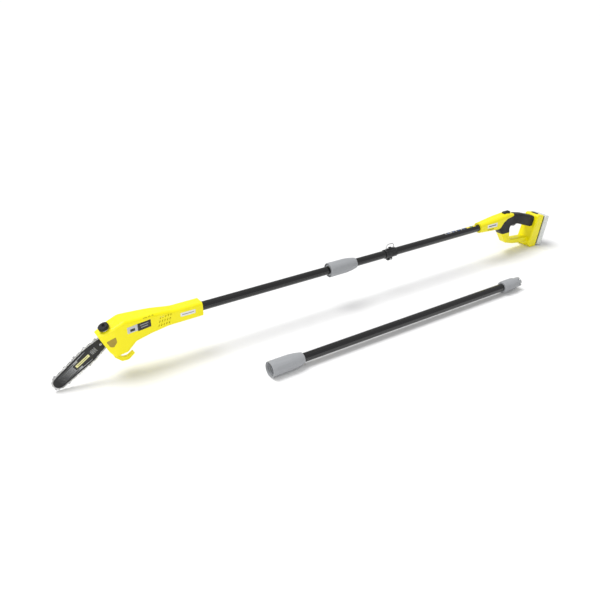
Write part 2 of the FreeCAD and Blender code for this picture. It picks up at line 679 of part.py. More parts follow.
def bar_nuts():
    nuts = []
    for x in STUDS:
        points = [V(x + 6.0 * math.cos(math.radians(a)), 14, 6.0 * math.sin(math.radians(a)))
                  for a in range(0, 360, 60)]
        nut = Part.Face(Part.makePolygon(points + points[:1])).extrude(V(0, 4, 0))
        nuts.append(nut.cut(rod(x, 10, 0, STUD_R, 12, Y_AXIS)))
    save("bar_nuts", along_bar(Part.makeCompound(nuts)))


def oil_system():
    tank = slab(TANK, -17, -1.2)
    tank = tank.cut(slab(TANK, -15.5, -2.7, 1.5))
    neck = Part.makeCylinder(NECK_R, NECK_L + 4, slope_point(CAP_ALONG, -NECK_L), SLOPE_OUT)
    bore = Part.makeCylinder(NECK_BORE, NECK_L + 12, slope_point(CAP_ALONG, -NECK_L - 4), SLOPE_OUT)
    tank = tank.fuse(neck).cut(bore)
    save("oil_tank", at_head(tank))
    cap = Part.makeCylinder(CAP_R, CAP_H - 4.5, slope_point(CAP_ALONG, 4.5), SLOPE_OUT)
    cap = cap.makeFillet(2.0, [e for e in cap.Edges if e.Length > 40])
    for i in range(16):
        a = i * 2 * math.pi / 16
        centre = slope_point(CAP_ALONG, 3)
        across = V(math.cos(SLOPE), 0, math.sin(SLOPE))
        spot = centre + across * ((CAP_R + 0.6) * math.cos(a)) + Y_AXIS * ((CAP_R + 0.6) * math.sin(a))
        cap = cap.cut(Part.makeCylinder(1.5, CAP_H - 5, spot, SLOPE_OUT))
    cap = cap.cut(Part.makeCylinder(NECK_R + GAP, 1.5, slope_point(CAP_ALONG, 3), SLOPE_OUT))
    plug = Part.makeCylinder(NECK_BORE - GAP, 12, slope_point(CAP_ALONG, -7), SLOPE_OUT)
    lever = block(-3.5, 3.5, -2.2, 2.2, 0, 6.5)
    lever.rotate(V(0, 0, 0), Y_AXIS, -math.degrees(SLOPE))
    lever.translate(slope_point(CAP_ALONG + 2, CAP_H - 0.5))
    save("oil_cap", at_head(cap.fuse(plug).fuse(lever)))
    ring = Part.makeCylinder(NECK_R + 3, 1.2, slope_point(CAP_ALONG, 4.5 - 1.2), SLOPE_OUT)
    ring = ring.cut(Part.makeCylinder(NECK_R + GAP, 3, slope_point(CAP_ALONG, 2), SLOPE_OUT))
    save("oil_gasket", at_head(ring))


# ---- handle, in a frame whose X = 0 is FOOT_X ahead of the foot and whose Z = 0 is the pole ----
def at_handle(shape):
    shape.translate(V(-FOOT_X, 0, POLE_Z))
    return shape


def on_dock(shape):
    """From the dock's own frame, with X = 0 on the rear face, to the handle's."""
    shape.rotate(V(0, 0, 0), Y_AXIS, RAKE)
    shape.translate(V(BOX_REAR, 0, BOX_TOP))
    return at_handle(shape)


def cone_solid(inset):
    """Front housing, from the tube to the grip."""
    radius = POLE_R + 4.5
    top = [(HANDLE_X, radius, 0), (-196, 26, 60), (-140, 31, 30), (-80, 22, 0)]
    under = [(-80, -22, 0), (-140, -25, 60), (-200, -22, 60), (HANDLE_X, -radius, 0)]
    side = [(HANDLE_X, radius, 0), (-190, 23.5, 60), (-80, 20, 0)]
    plan = side + [(x, -y, r) for x, y, r in reversed(side)]
    solid = crossed(top + under, plan, inset, CONE_SOFT - inset)
    rear = slab([(-205 - inset, -50, 0), (-187 - inset, -22, 3), (-165 - inset, 4, 6),
                 (-145, 15 + inset, 10), (-108, 20 + inset, 10), (-92, 50, 0), (0, 50, 0),
                 (0, -50, 0)], -40, 40)
    return solid.cut(rear)


GRIP = [(-98, 23, 20), (-47, 12.5, 60), (36, -14, 10), (30, -112, 10),
        (-40, -109, 20), (-86, -103, 22), (-131, -90, 20), (-163, -42, 14), (-184, -22, 8),
        (-166, 8, 16), (-140, 20, 20)]
GRIP_EYE = [(-122, -20, 12), (-113, -81, 12), (12, -92, 10), (12, -52, 10), (-80, -19, 60)]


def box_outline():
    lean = math.tan(math.radians(RAKE))
    low = BOX_REAR - (POLE_Z + BOX_TOP) * lean
    return [(26, -2, 10), (BOX_REAR, BOX_TOP, 2), (low, -POLE_Z, 4), (4, -POLE_Z, 14),
            (-8, -112, 16)]


def grip_hollow(inset):
    solid = soft_slab(GRIP, GRIP_HALF, GRIP_SOFT - inset * 0.9, inset)
    return solid.cut(slab(GRIP_EYE, -40, 40, -inset))


def grip_solid(inset):
    """D-shaped grip: rounded outside first, then round its eye."""
    half = GRIP_HALF - inset
    solid = grip_hollow(inset)
    rims = []
    for face in solid.Faces:
        box = face.BoundBox
        if box.YLength < 1e-4 and abs(abs(box.YMin) - half) < 1e-4:
            inner = [w for w in face.Wires if not w.isSame(face.OuterWire)]
            rims += [edge for wire in inner for edge in wire.Edges]
    return solid.makeFillet(EYE_SOFT, rims)


def trigger_slot(grow):
    return slab([(-118 - grow, 2, 0), (-72 + grow, 2, 0), (-72 + grow, -40, 0),
                 (-118 - grow, -40, 0)], -7 - grow, 7 + grow)


def handle_shells():
    cone = cone_solid(0)
    grip = grip_solid(0)
    box = soft_slab(box_outline(), BOX_HALF, 5.0)
    box = box.cut(block(-300, 300, -60, 60, -400, -POLE_Z))
    core = grip_solid(RUBBER)
    clad = block(-220, 19, -40, 40, -47, 60)
    rubber = grip.cut(core).common(clad).cut(cone).cut(box)
    rubber = rubber.cut(trigger_slot(0.8))
    save("grip_rubber", at_handle(rubber.copy()))
    bare = near_half(grip).common(core.fuse(block(-220, 60, -40, 40, -150, -47)))
    bored = near_half(cone).cut(rod(HANDLE_X - 1, 0, 0, POLE_R, SOCKET_DEPTH + 1))
    bored = bored.cut(rod(HANDLE_X, 0, 0, 8, SOCKET_DEPTH + 10))
    solid = bored.fuse(bare).fuse(near_half(box))
    front = near_half(cone_solid(WALL)).cut(block(HANDLE_X - 1, HANDLE_X + 16, -40, 40, -40, 40))
    front = front.cut(block(HANDLE_X + SOCKET_DEPTH - 8, HANDLE_X + SOCKET_DEPTH + 4,
                            -40, 40, -40, 40))
    shell = solid.cut(front).cut(near_half(grip_hollow(RUBBER + WALL)))
    shell = shell.cut(slab(box_outline(), -BOX_HALF + WALL, 1, WALL))
    shell = shell.cut(trigger_slot(0.8))
    shell = shell.cut(block(LOCK_X - 15 - GAP, LOCK_X + 15 + GAP, -7 - GAP, 7 + GAP, 18, 60))
    shell = shell.cut(block(LOCK_X - 18.5, LOCK_X + 18.5, -10.5, 10.5, 16, 24))
    shell = shell.cut(block(LATCH_X - 6, LATCH_X + 6, -14, 14, -30, 20))
    shell = shell.cut(rod(TRIGGER_X, -30, TRIGGER_Z, 2, 60, Y_AXIS))
    save("handle_shell_left", at_handle(shell.copy()))
    save("handle_shell_right", at_handle(shell.mirror(V(0, 0, 0), Y_AXIS)))


def controls():
    lever = slab([(-117, 1, 3), (-75, -1, 3), (-73, -26, 4), (-84, -31, 6), (-106, -26, 10),
                  (-117, -14, 4)], -7, 7)
    lever = lever.cut(rod(TRIGGER_X, -20, TRIGGER_Z, 2 + RUNNING, 40, Y_AXIS))
    save("trigger", at_handle(lever))
    save("trigger_pin", at_handle(rod(TRIGGER_X, -14, TRIGGER_Z, 2, 28, Y_AXIS)))
    button = block(LOCK_X - 15, LOCK_X + 15, -7, 7, 21, 37.5)
    button = button.makeFillet(3, [e for e in button.Edges if e.BoundBox.ZMin > 37])
    button = button.fuse(block(LOCK_X - 18, LOCK_X + 18, -10, 10, 20, 23))
    save("lock_button", at_handle(button))
    save("switch_unit", at_handle(block(-104, -78, -5, 5, 4, 12)))
    latch = block(LATCH_X - 5.5, LATCH_X + 5.5, -13.5, 13.5, -22, -3)
    save("pack_latch", at_handle(latch))


def dock_and_pack():
    plate = block(0, 2.5, -BOX_HALF + 1, BOX_HALF - 1, -PACK_H + 2, -4)
    for side in (-1, 1):
        y0, y1 = sorted((side * RAIL_Y, side * (RAIL_Y + 6)))
        plate = plate.fuse(block(2.5, 7, y0, y1, -6 - RAIL_L, -6))
        y0, y1 = sorted((side * RAIL_Y, side * (RAIL_Y + 9)))
        plate = plate.fuse(block(5, 7, y0, y1, -6 - RAIL_L, -6))
    save("battery_dock", on_dock(plate))
    blades = [block(2.5, 9.5, y - 0.5, y + 0.5, -84, -66) for y in (-8, 0, 8)]
    save("dock_terminals", on_dock(Part.makeCompound(blades)))
    front = 2.5 + GAP
    case = block(front, front + PACK_T, -PACK_HALF, PACK_HALF, -PACK_H, -2)
    uprights = [e for e in case.Edges if e.BoundBox.ZLength > 50 and e.BoundBox.XMin > 20]
    case = case.makeFillet(7, uprights)
    inner = block(10.6, front + PACK_T - 1.6, -PACK_HALF + 2, PACK_HALF - 2, -PACK_H + 2, -4)
    case = case.cut(inner)
    for side in (-1, 1):
        y0, y1 = sorted((side * (RAIL_Y - 0.4), side * (RAIL_Y + 6.4)))
        case = case.cut(block(0, 7.4, y0, y1, -PACK_H - 1, -5.5))
        y0, y1 = sorted((side * (RAIL_Y - 0.4), side * (RAIL_Y + 9.4)))
        case = case.cut(block(4.6, 7.4, y0, y1, -PACK_H - 1, -5.5))
    for y in (-8, 0, 8):
        case = case.cut(block(0, 9.9, y - 0.9, y + 0.9, -PACK_H - 1, -65))
    save("battery_case", on_dock(case))
    cells = [rod(19.7, -CELL_L / 2, -16 - i * 20.5, CELL_R, CELL_L, Y_AXIS) for i in range(5)]
    save("battery_cells", on_dock(Part.makeCompound(cells)))
    board = block(-16, -14, -24, 24, -95, -35)
    save("control_board", on_dock(board))


def pole_fittings():
    tube_start = NUT_X + rear_tube_start()
    save("handle_tube", pole(tube_start, HANDLE_END + SOCKET_DEPTH, 0, POLE_Z))
    save("head_tube", pole(HEAD_X - SOCKET_DEPTH, NUT_X + front_tube_end(), 0, POLE_Z))
    save("union_nut", union_nut(NUT_X, 0, POLE_Z))
    save("head_collar", collar(NUT_X + COLLAR_IN, 0, POLE_Z))
    end = NUT_X + front_tube_end()
    save("head_spigot", spigot(end, 0, POLE_Z))
    save("head_pins", pins(end, 0, POLE_Z))
    save("handle_bush", bush(NUT_X, 0, POLE_Z))
    save("handle_contacts", contact_insert(NUT_X, 0, POLE_Z))
    y, z = EXTENSION_Y, EXTENSION_Z
    collar_x = EXTENSION_X + EXTENSION_TUBE
    end = collar_x + COLLAR_L
    save("extension_tube", pole(EXTENSION_X + rear_tube_start(), end, y, z))
    save("extension_nut", union_nut(EXTENSION_X, y, z))
    save("extension_collar", collar(collar_x, y, z))
    save("extension_spigot", spigot(end, y, z))
    save("extension_pins", pins(end, y, z))
    save("extension_bush", bush(EXTENSION_X, y, z))
    save("extension_contacts", contact_insert(EXTENSION_X, y, z))


def strap_fitting():
    band = pipe(STRAP_X - STRAP_L / 2, 0, POLE_Z, POLE_R + BAND_T, POLE_R, STRAP_L)
    top = POLE_Z + POLE_R + BAND_T
    ears = block(STRAP_X - 5, STRAP_X + 5, -3.5, 3.5, top - 1, top + 6)
    foot = block(STRAP_X - 10, STRAP_X + 10, -5, 5, POLE_Z - POLE_R - 11, POLE_Z - POLE_R - 1)
    band = band.fuse(ears).fuse(foot.cut(rod(STRAP_X - 20, 0, POLE_Z, POLE_R, 40)))
    pivot = top + 3
    band = band.cut(rod(STRAP_X - 20, 0, pivot, RING_WIRE + RUNNING, 40))
    band = band.cut(rod(STRAP_X, -10, POLE_Z - POLE_R - 7, 2, 20, Y_AXIS))
    save("strap_clamp", band)
    save("clamp_screw", rod(STRAP_X, -7, POLE_Z - POLE_R - 7, 2, 14, Y_AXIS).fuse(
        rod(STRAP_X, -8.5, POLE_Z - POLE_R - 7, 3.6, 3.5, Y_AXIS)))
    half, high = 17.0, 15.0
    path = [(-half, 0), (-half, 6), (-half + 6, high), (half - 6, high), (half, 6), (half, 0)]
    ring = rod(STRAP_X - half, 0, pivot, RING_WIRE, 2 * half)
    points = [V(STRAP_X + x, 0, pivot + z) for x, z in path]
    for a, b in zip(points, points[1:]):
        ring = ring.fuse(Part.makeCylinder(RING_WIRE, (b - a).Length, a, b - a))
    for point in points:
        ring = ring.fuse(Part.makeSphere(RING_WIRE, point))
    save("strap_ring", ring)


head_shells()
guide_bar()
tensioner()
chain()
nose_sprocket()
centres = drive_train()
gear_plate(*centres)
bar_nuts()
oil_system()
handle_shells()
controls()
dock_and_pack()
pole_fittings()
strap_fitting()
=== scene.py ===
import json
import math

import bmesh
import bpy
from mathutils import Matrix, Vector
from mathutils.bvhtree import BVHTree


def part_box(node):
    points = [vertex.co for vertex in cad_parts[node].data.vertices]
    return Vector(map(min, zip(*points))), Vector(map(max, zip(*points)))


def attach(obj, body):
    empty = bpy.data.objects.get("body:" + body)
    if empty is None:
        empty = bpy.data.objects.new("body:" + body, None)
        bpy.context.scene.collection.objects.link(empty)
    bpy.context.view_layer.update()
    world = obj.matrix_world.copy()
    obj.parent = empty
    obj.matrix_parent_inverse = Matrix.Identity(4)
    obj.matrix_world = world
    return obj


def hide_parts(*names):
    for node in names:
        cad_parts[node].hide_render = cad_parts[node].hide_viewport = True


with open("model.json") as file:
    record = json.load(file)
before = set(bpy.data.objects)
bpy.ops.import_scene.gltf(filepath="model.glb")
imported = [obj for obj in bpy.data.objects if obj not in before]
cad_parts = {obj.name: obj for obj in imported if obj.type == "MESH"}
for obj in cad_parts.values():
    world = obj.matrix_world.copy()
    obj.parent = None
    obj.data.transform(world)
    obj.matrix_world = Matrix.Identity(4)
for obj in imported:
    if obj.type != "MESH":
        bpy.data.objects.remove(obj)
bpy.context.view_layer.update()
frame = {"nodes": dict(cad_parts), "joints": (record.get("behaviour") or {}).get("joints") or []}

bl_info = {
    "name": "Pole Saw",
    "version": (1, 0, 0),
    "blender": (4, 5, 0),
    "location": "View3D > Sidebar > Pole Saw",
    "description": "Saw chain, bar print, labels, tape bands, screws and finishes of a pole saw",
    "category": "Object",
}

MM = 0.001
NODES = frame["nodes"]
JOINTS = {joint["name"]: joint for joint in frame["joints"]}
Y_AXIS = Vector((0, 1, 0))
Z_AXIS = Vector((0, 0, 1))

# Stations, worked out from the frame.
TUBE_LOW, TUBE_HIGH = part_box("head_tube")
POLE_Z = (TUBE_LOW.z + TUBE_HIGH.z) / 2
POLE_R = (TUBE_HIGH.z - TUBE_LOW.z) / 2
HEAD_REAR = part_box("head_shell_left")[1].x
HANDLE_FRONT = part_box("handle_shell_left")[0].x
BAR_LOW, BAR_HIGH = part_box("guide_bar")
BAR_Y = (BAR_LOW.y + BAR_HIGH.y) / 2
BAR_HALF_T = (BAR_HIGH.y - BAR_LOW.y) / 2
SPROCKET = Vector(JOINTS["drive_spin"]["pos_m"])
NOSE = Vector(JOINTS["nose_spin"]["pos_m"])
BAR_REACH = math.hypot(NOSE.x - SPROCKET.x, NOSE.z - SPROCKET.z)
BAR_OUT = Vector(((NOSE.x - SPROCKET.x) / BAR_REACH, 0, (NOSE.z - SPROCKET.z) / BAR_REACH))
BAR_UP = Vector((BAR_OUT.z, 0, -BAR_OUT.x))

# Chain: places are in mm, out being away from the bar's rail.
RIVET_HEIGHT = 2.35      # rivets above the rail
RIVET_R = 1.25
RIVET_CROWN_R = 0.8
BOSS_R = 2.1             # rounding of a strap about its rivet
DRIVE_HALF_T = 0.62      # half thickness of the drive links
STRAP_IN, STRAP_OUT = 0.72, 1.75   # inner and outer faces of the side straps
CUTTER_CYCLE = {2: 1, 6: -1}       # which side has a cutter at each eighth rivet

# Bar prints, in mm along the bar from the drive sprocket.
OIL_HOLE = 60.0
LABEL_ALONG = 124.0
DOT_PITCH = 3.1

# Labels, in mm.
FILM_T, RAISED_FILM_T = 0.25, 0.4
SIDE_START = 0.12        # metres from the middle plane, where label rays start
TOWARD = {-1: Vector((0, 1, 0)), 1: Vector((0, -1, 0))}

# Camera and lights, in metres and radians.
CAMERA_PLACE = (-2.1246, -1.5563, 1.0265)
CAMERA_TURN = (math.pi / 2 - 0.48066, 0, -0.57906)
KEY_PLACE, KEY_AIM = (-1.6, 0.9, 2.6), (-1.0, 0.0, 0.0)
SIDE_PLACE, SIDE_AIM = (-3.0, -2.2, 1.7), (-1.0, 0.0, 0.1)
KEY_SPREAD = math.radians(32)
SIDE_SIZE = 1.4


def bar_point(along, up, out):
    """A point in mm from the drive sprocket: along the bar, up across it, out beside it."""
    place = BAR_OUT * (along * MM) + BAR_UP * (up * MM)
    return Vector((SPROCKET.x, BAR_Y + out * MM, SPROCKET.z)) + place


# ---- sizes and colours that a user would change ----
class PoleSawChain(bpy.types.PropertyGroup):
    pitch: bpy.props.FloatProperty(name="Rivet pitch", description="Distance between rivets, in mm",
                                   default=9.525, min=6.0, max=12.0)
    tail: bpy.props.FloatProperty(name="Sprocket wrap", description="Rail radius round the drive "
                                  "sprocket, in mm", default=10.0)
    waist: bpy.props.FloatProperty(name="Widest place", description="Distance of the bar's widest "
                                   "place from the drive sprocket, in mm", default=100.0)
    half: bpy.props.FloatProperty(name="Half width", description="Half the bar's width there, "
                                  "in mm", default=22.5)
    nose: bpy.props.FloatProperty(name="Nose radius", description="Radius of the bar's nose, in mm",
                                  default=17.0)
    cutter: bpy.props.FloatProperty(name="Cutter height", description="Cutters above the rail, "
                                    "in mm", default=7.2, min=5.0, max=7.4)


class PoleSawColours(bpy.types.PropertyGroup):
    housing: bpy.props.FloatVectorProperty(name="Housing", description="Moulded housings",
                                           subtype="COLOR", size=3, default=(0.92, 0.82, 0.001),
                                           min=0, max=1)
    trim: bpy.props.FloatVectorProperty(name="Trim", description="Caps, buttons and dock",
                                        subtype="COLOR", size=3, default=(0.010, 0.010, 0.011),
                                        min=0, max=1)
    joint: bpy.props.FloatVectorProperty(name="Pole joint", description="Union nuts and collars",
                                         subtype="COLOR", size=3, default=(0.35, 0.36, 0.375),
                                         min=0, max=1)
    tube: bpy.props.FloatVectorProperty(name="Tube", description="Painted tubes",
                                        subtype="COLOR", size=3, default=(0.004, 0.004, 0.0045),
                                        min=0, max=1)
    pack: bpy.props.FloatVectorProperty(name="Battery pack", description="Battery case",
                                        subtype="COLOR", size=3, default=(0.74, 0.76, 0.74),
                                        min=0, max=1)


class PoleSawStage(bpy.types.PropertyGroup):
    lens: bpy.props.FloatProperty(name="Lens", description="Focal length, in mm on a 36 mm sensor",
                                  default=39.04, min=10, max=300)
    key: bpy.props.FloatProperty(name="Key light", description="Strength of the overhead light, "
                                 "in watts a square metre", default=2.15, min=0)
    side: bpy.props.FloatProperty(name="Side light", description="Power of the light at the left",
                                  default=26.0, min=0, unit="POWER")
    sky: bpy.props.FloatProperty(name="Sky", description="Strength of the even light all round",
                                 default=0.52, min=0)
    floor: bpy.props.FloatProperty(name="Floor size", description="Side of the floor",
                                   default=60.0, min=4, unit="LENGTH")


# ---- shared shader effects ----
def effect_group(name, inputs, outputs):
    """A shader group with named inputs and outputs, and the place on the object to start from."""
    group = bpy.data.node_groups.new(name, "ShaderNodeTree")
    for label, kind, value in inputs:
        socket = group.interface.new_socket(label, in_out="INPUT", socket_type=kind)
        socket.default_value = value
    for label, kind in outputs:
        group.interface.new_socket(label, in_out="OUTPUT", socket_type=kind)
    start = group.nodes.new("NodeGroupInput")
    end = group.nodes.new("NodeGroupOutput")
    return group, start, end, object_place(group)


def object_place(tree):
    """The place on the object, in its own frame."""
    return tree.nodes.new("ShaderNodeTexCoord").outputs["Object"]


def stretched(tree, vector, scale):
    """A vector stretched by a fixed scale or by a socket's."""
    node = tree.nodes.new("ShaderNodeMapping")
    if isinstance(scale, tuple):
        node.inputs["Scale"].default_value = scale
    else:
        tree.links.new(scale, node.inputs["Scale"])
    tree.links.new(vector, node.inputs["Vector"])
    return node


def noise(tree, vector, scale, detail=3.0, roughness=0.55):
    """Noise over a vector, as a value."""
    node = tree.nodes.new("ShaderNodeTexNoise")
    node.inputs["Scale"].default_value = scale
    node.inputs["Detail"].default_value = detail
    node.inputs["Roughness"].default_value = roughness
    tree.links.new(vector, node.inputs["Vector"])
    return node.outputs["Fac"]


def spread(tree, value, low, high, to_low, to_high):
    """Map a value from one range to another, held at its ends."""
    node = tree.nodes.new("ShaderNodeMapRange")
    tree.links.new(value, node.inputs["Value"])
    node.inputs["From Min"].default_value = low
    node.inputs["From Max"].default_value = high
    node.inputs["To Min"].default_value = to_low
    node.inputs["To Max"].default_value = to_high
    return node.outputs["Result"]


def reckon(tree, operation, first, second):
    """One step of arithmetic on values or sockets."""
    node = tree.nodes.new("ShaderNodeMath")
    node.operation = operation
    for socket, value in zip(node.inputs, (first, second)):
        if isinstance(value, (int, float)):
            socket.default_value = value
        else:
            tree.links.new(value, socket)
    return node.outputs["Value"]


def moulded_grain():
    """Spark-eroded mould texture: fine height, and a slow tone from the moulding's flow."""
    group, start, end, place = effect_group(
        "moulded_grain", [("Grain", "NodeSocketFloat", 2600.0)],
        [("Height", "NodeSocketFloat"), ("Tone", "NodeSocketFloat")])
    fine = group.nodes.new("ShaderNodeTexNoise")
    fine.inputs["Detail"].default_value = 2.0
    group.links.new(place, fine.inputs["Vector"])
    group.links.new(start.outputs["Grain"], fine.inputs["Scale"])
    slow = noise(group, place, 14.0, 2.0)
    group.links.new(fine.outputs["Fac"], end.inputs["Height"])
    group.links.new(slow, end.inputs["Tone"])
    return group


def edge_wear():
    """Mask of raised edges that hands and branches rub, broken up by noise."""
    group, start, end, place = effect_group(
        "edge_wear", [("Spread", "NodeSocketFloat", 0.06)], [("Mask", "NodeSocketFloat")])
    edge = group.nodes.new("ShaderNodeNewGeometry").outputs["Pointiness"]
    high = reckon(group, "SUBTRACT", edge, 0.5)
    share = reckon(group, "DIVIDE", high, start.outputs["Spread"])
    broken = spread(group, noise(group, place, 160.0, 4.0), 0.42, 0.66, 0.0, 1.0)
    mask = group.nodes.new("ShaderNodeClamp")
    group.links.new(reckon(group, "MULTIPLY", share, broken), mask.inputs["Value"])
    group.links.new(mask.outputs["Result"], end.inputs["Mask"])
    return group


def fine_scuffs():
    """Thin handling marks: two crossed sets of long stretched noise."""
    group, start, end, place = effect_group(
        "fine_scuffs", [("Amount", "NodeSocketFloat", 0.5)], [("Mask", "NodeSocketFloat")])
    masks = []
    for turn in (0.5, -0.9):
        stretch = stretched(group, place, (30.0, 1400.0, 900.0))
        stretch.inputs["Rotation"].default_value = (turn, turn * 0.6, turn)
        masks.append(spread(group, noise(group, stretch.outputs["Vector"], 1.0, 1.0),
                            0.70, 0.76, 0.0, 1.0))
    both = reckon(group, "MAXIMUM", masks[0], masks[1])
    group.links.new(reckon(group, "MULTIPLY", both, start.outputs["Amount"]), end.inputs["Mask"])
    return group


def drawn_grain():
    """Drawn or ground metal: fine lines along one way, and spots of stain."""
    group, start, end, place = effect_group(
        "drawn_grain", [("Stretch", "NodeSocketVector", (20.0, 900.0, 900.0))],
        [("Lines", "NodeSocketFloat"), ("Stain", "NodeSocketFloat")])
    along = stretched(group, place, start.outputs["Stretch"]).outputs["Vector"]
    group.links.new(noise(group, along, 1.0, 3.0), end.inputs["Lines"])
    spots = spread(group, noise(group, place, 220.0, 4.0), 0.50, 0.72, 0.0, 0.7)
    group.links.new(spots, end.inputs["Stain"])
    return group


def rubber_pebble():
    """Soft-touch rubber: pebbles for height, and a slow mask where palms have polished it."""
    group, start, end, place = effect_group(
        "rubber_pebble", [("Pebbles", "NodeSocketFloat", 950.0)],
        [("Height", "NodeSocketFloat"), ("Polish", "NodeSocketFloat")])
    cells = group.nodes.new("ShaderNodeTexVoronoi")
    group.links.new(place, cells.inputs["Vector"])
    group.links.new(start.outputs["Pebbles"], cells.inputs["Scale"])
    group.links.new(cells.outputs["Distance"], end.inputs["Height"])
    polish = spread(group, noise(group, place, 28.0, 2.0), 0.35, 0.7, 0.0, 1.0)
    group.links.new(polish, end.inputs["Polish"])
    return group


def mottling():
    """Slow, cloudy tone of print, panes and paper."""
    group, start, end, place = effect_group(
        "mottling", [("Scale", "NodeSocketFloat", 300.0), ("Detail", "NodeSocketFloat", 3.0)],
        [("Tone", "NodeSocketFloat")])
    cloud = noise(group, place, 300.0)
    group.links.new(start.outputs["Scale"], cloud.node.inputs["Scale"])
    group.links.new(start.outputs["Detail"], cloud.node.inputs["Detail"])
    group.links.new(cloud, end.inputs["Tone"])
    return group


EFFECTS = {}


def place_effect(tree, maker, **values):
    """Put a shared effect, made once, in a material with that material's own values."""
    if maker not in EFFECTS:
        EFFECTS[maker] = maker()
    node = tree.nodes.new("ShaderNodeGroup")
    node.node_tree = EFFECTS[maker]
    for label, value in values.items():
        node.inputs[label].default_value = value
    return node


def tint(tree, mask, colour, other):
    """Blend two colours by a mask."""
    node = tree.nodes.new("ShaderNodeMix")
    node.data_type = "RGBA"
    tree.links.new(mask, node.inputs["Factor"])
    for label, value in (("A", colour), ("B", other)):
        socket = [s for s in node.inputs if s.name == label and s.type == "RGBA"][0]
        if isinstance(value, (tuple, list)):
            socket.default_value = (*value, 1)
        else:
            tree.links.new(value, socket)
    return [s for s in node.outputs if s.type == "RGBA"][0]


def scaled(colour, share, lift=0.0):
    """A colour made lighter or darker, and lifted."""
    return tuple(min(1.0, part * share + lift) for part in colour)


def bump(tree, shader, height, distance, strength):
    """Turn a height into the shader's normal."""
    node = tree.nodes.new("ShaderNodeBump")
    node.inputs["Distance"].default_value = distance
    node.inputs["Strength"].default_value = strength
    tree.links.new(height, node.inputs["Height"])
    tree.links.new(node.outputs["Normal"], shader.inputs["Normal"])


def new_material(name):
    """A material, its nodes and its shader."""
    made = bpy.data.materials.new(name)
    made.use_nodes = True
    return made, made.node_tree, made.node_tree.nodes["Principled BSDF"]


def moulded(name, colour, rough, grain=2600.0, depth=0.00004, wear=0.35, coat=0.0):
    """Moulded plastic: grain, flow tone, worn edges and fine scuffs."""
    made, tree, shader = new_material(name)
    texture = place_effect(tree, moulded_grain, Grain=grain)
    worn = place_effect(tree, edge_wear, Spread=0.07)
    scuffs = place_effect(tree, fine_scuffs, Amount=0.35)
    toned = tint(tree, texture.outputs["Tone"], scaled(colour, 0.94), scaled(colour, 1.04))
    pale = reckon(tree, "MULTIPLY", worn.outputs["Mask"], wear)
    finish = tint(tree, pale, toned, scaled(colour, 0.95, 0.04))
    tree.links.new(finish, shader.inputs["Base Color"])
    gloss = spread(tree, texture.outputs["Tone"], 0.3, 0.7, rough - 0.05, rough + 0.05)
    dull = reckon(tree, "MULTIPLY", scuffs.outputs["Mask"], 0.15)
    tree.links.new(reckon(tree, "ADD", gloss, dull), shader.inputs["Roughness"])
    shader.inputs["Specular IOR Level"].default_value = 0.32
    shader.inputs["Coat Weight"].default_value = coat
    shader.inputs["Coat Roughness"].default_value = 0.25
    bump(tree, shader, texture.outputs["Height"], depth, 0.6)
    return made


def metal(name, colour, rough, grain_along=(20.0, 900.0, 900.0), stain=None, metallic=1.0):
    """Bare or plated metal with a drawn or ground grain, and spots of stain."""
    made, tree, shader = new_material(name)
    grain = place_effect(tree, drawn_grain, Stretch=grain_along)
    lines = grain.outputs["Lines"]
    finish = tint(tree, grain.outputs["Stain"], colour, stain or scaled(colour, 0.72))
    tree.links.new(finish, shader.inputs["Base Color"])
    tree.links.new(spread(tree, lines, 0.3, 0.7, rough - 0.06, rough + 0.08),
                   shader.inputs["Roughness"])
    shader.inputs["Metallic"].default_value = metallic
    bump(tree, shader, lines, 0.00002, 0.35)
    return made


def painted_tube(name, colour):
    """Gloss black paint on a drawn tube: orange peel, faint length-wise marks and a clear coat."""
    made, tree, shader = new_material(name)
    place = object_place(tree)
    peel = noise(tree, place, 420.0, 2.0)
    along = stretched(tree, place, (4.0, 500.0, 500.0)).outputs["Vector"]
    marks = spread(tree, noise(tree, along, 1.0, 2.0), 0.55, 0.75, 0.0, 1.0)
    shader.inputs["Specular IOR Level"].default_value = 0.5
    tree.links.new(tint(tree, marks, colour, scaled(colour, 1.0, 0.006)),
                   shader.inputs["Base Color"])
    tree.links.new(spread(tree, marks, 0.0, 1.0, 0.20, 0.32), shader.inputs["Roughness"])
    shader.inputs["Coat Weight"].default_value = 0.3
    shader.inputs["Coat Roughness"].default_value = 0.08
    bump(tree, shader, peel, 0.00003, 0.25)
    return made


def soft_rubber(name, colour):
    """Soft-touch rubber: fine pebble grain, dull sheen, palms' polish here and there."""
    made, tree, shader = new_material(name)
    pebble = place_effect(tree, rubber_pebble, Pebbles=950.0)
    polish = pebble.outputs["Polish"]
    tree.links.new(tint(tree, polish, colour, scaled(colour, 1.35)), shader.inputs["Base Color"])
    tree.links.new(spread(tree, polish, 0.0, 1.0, 0.62, 0.46), shader.inputs["Roughness"])
    shader.inputs["Specular IOR Level"].default_value = 0.28
    shader.inputs["Sheen Weight"].default_value = 0.03
    shader.inputs["Sheen Roughness"].default_value = 0.5
    bump(tree, shader, pebble.outputs["Height"], 0.00012, 0.55)
    return made


def frosted(name, colour):
    """Frosted, slightly see-through plastic of the battery case."""
    made, tree, shader = new_material(name)
    texture = place_effect(tree, moulded_grain, Grain=1800.0)
    tree.links.new(tint(tree, texture.outputs["Tone"], scaled(colour, 0.9), colour),
                   shader.inputs["Base Color"])
    tree.links.new(spread(tree, texture.outputs["Tone"], 0.3, 0.7, 0.32, 0.44),
                   shader.inputs["Roughness"])
    shader.inputs["Subsurface Weight"].default_value = 0.25
    shader.inputs["Subsurface Radius"].default_value = (0.004, 0.004, 0.004)
    shader.inputs["Subsurface Scale"].default_value = 0.5
    bump(tree, shader, texture.outputs["Height"], 0.00003, 0.4)
    return made


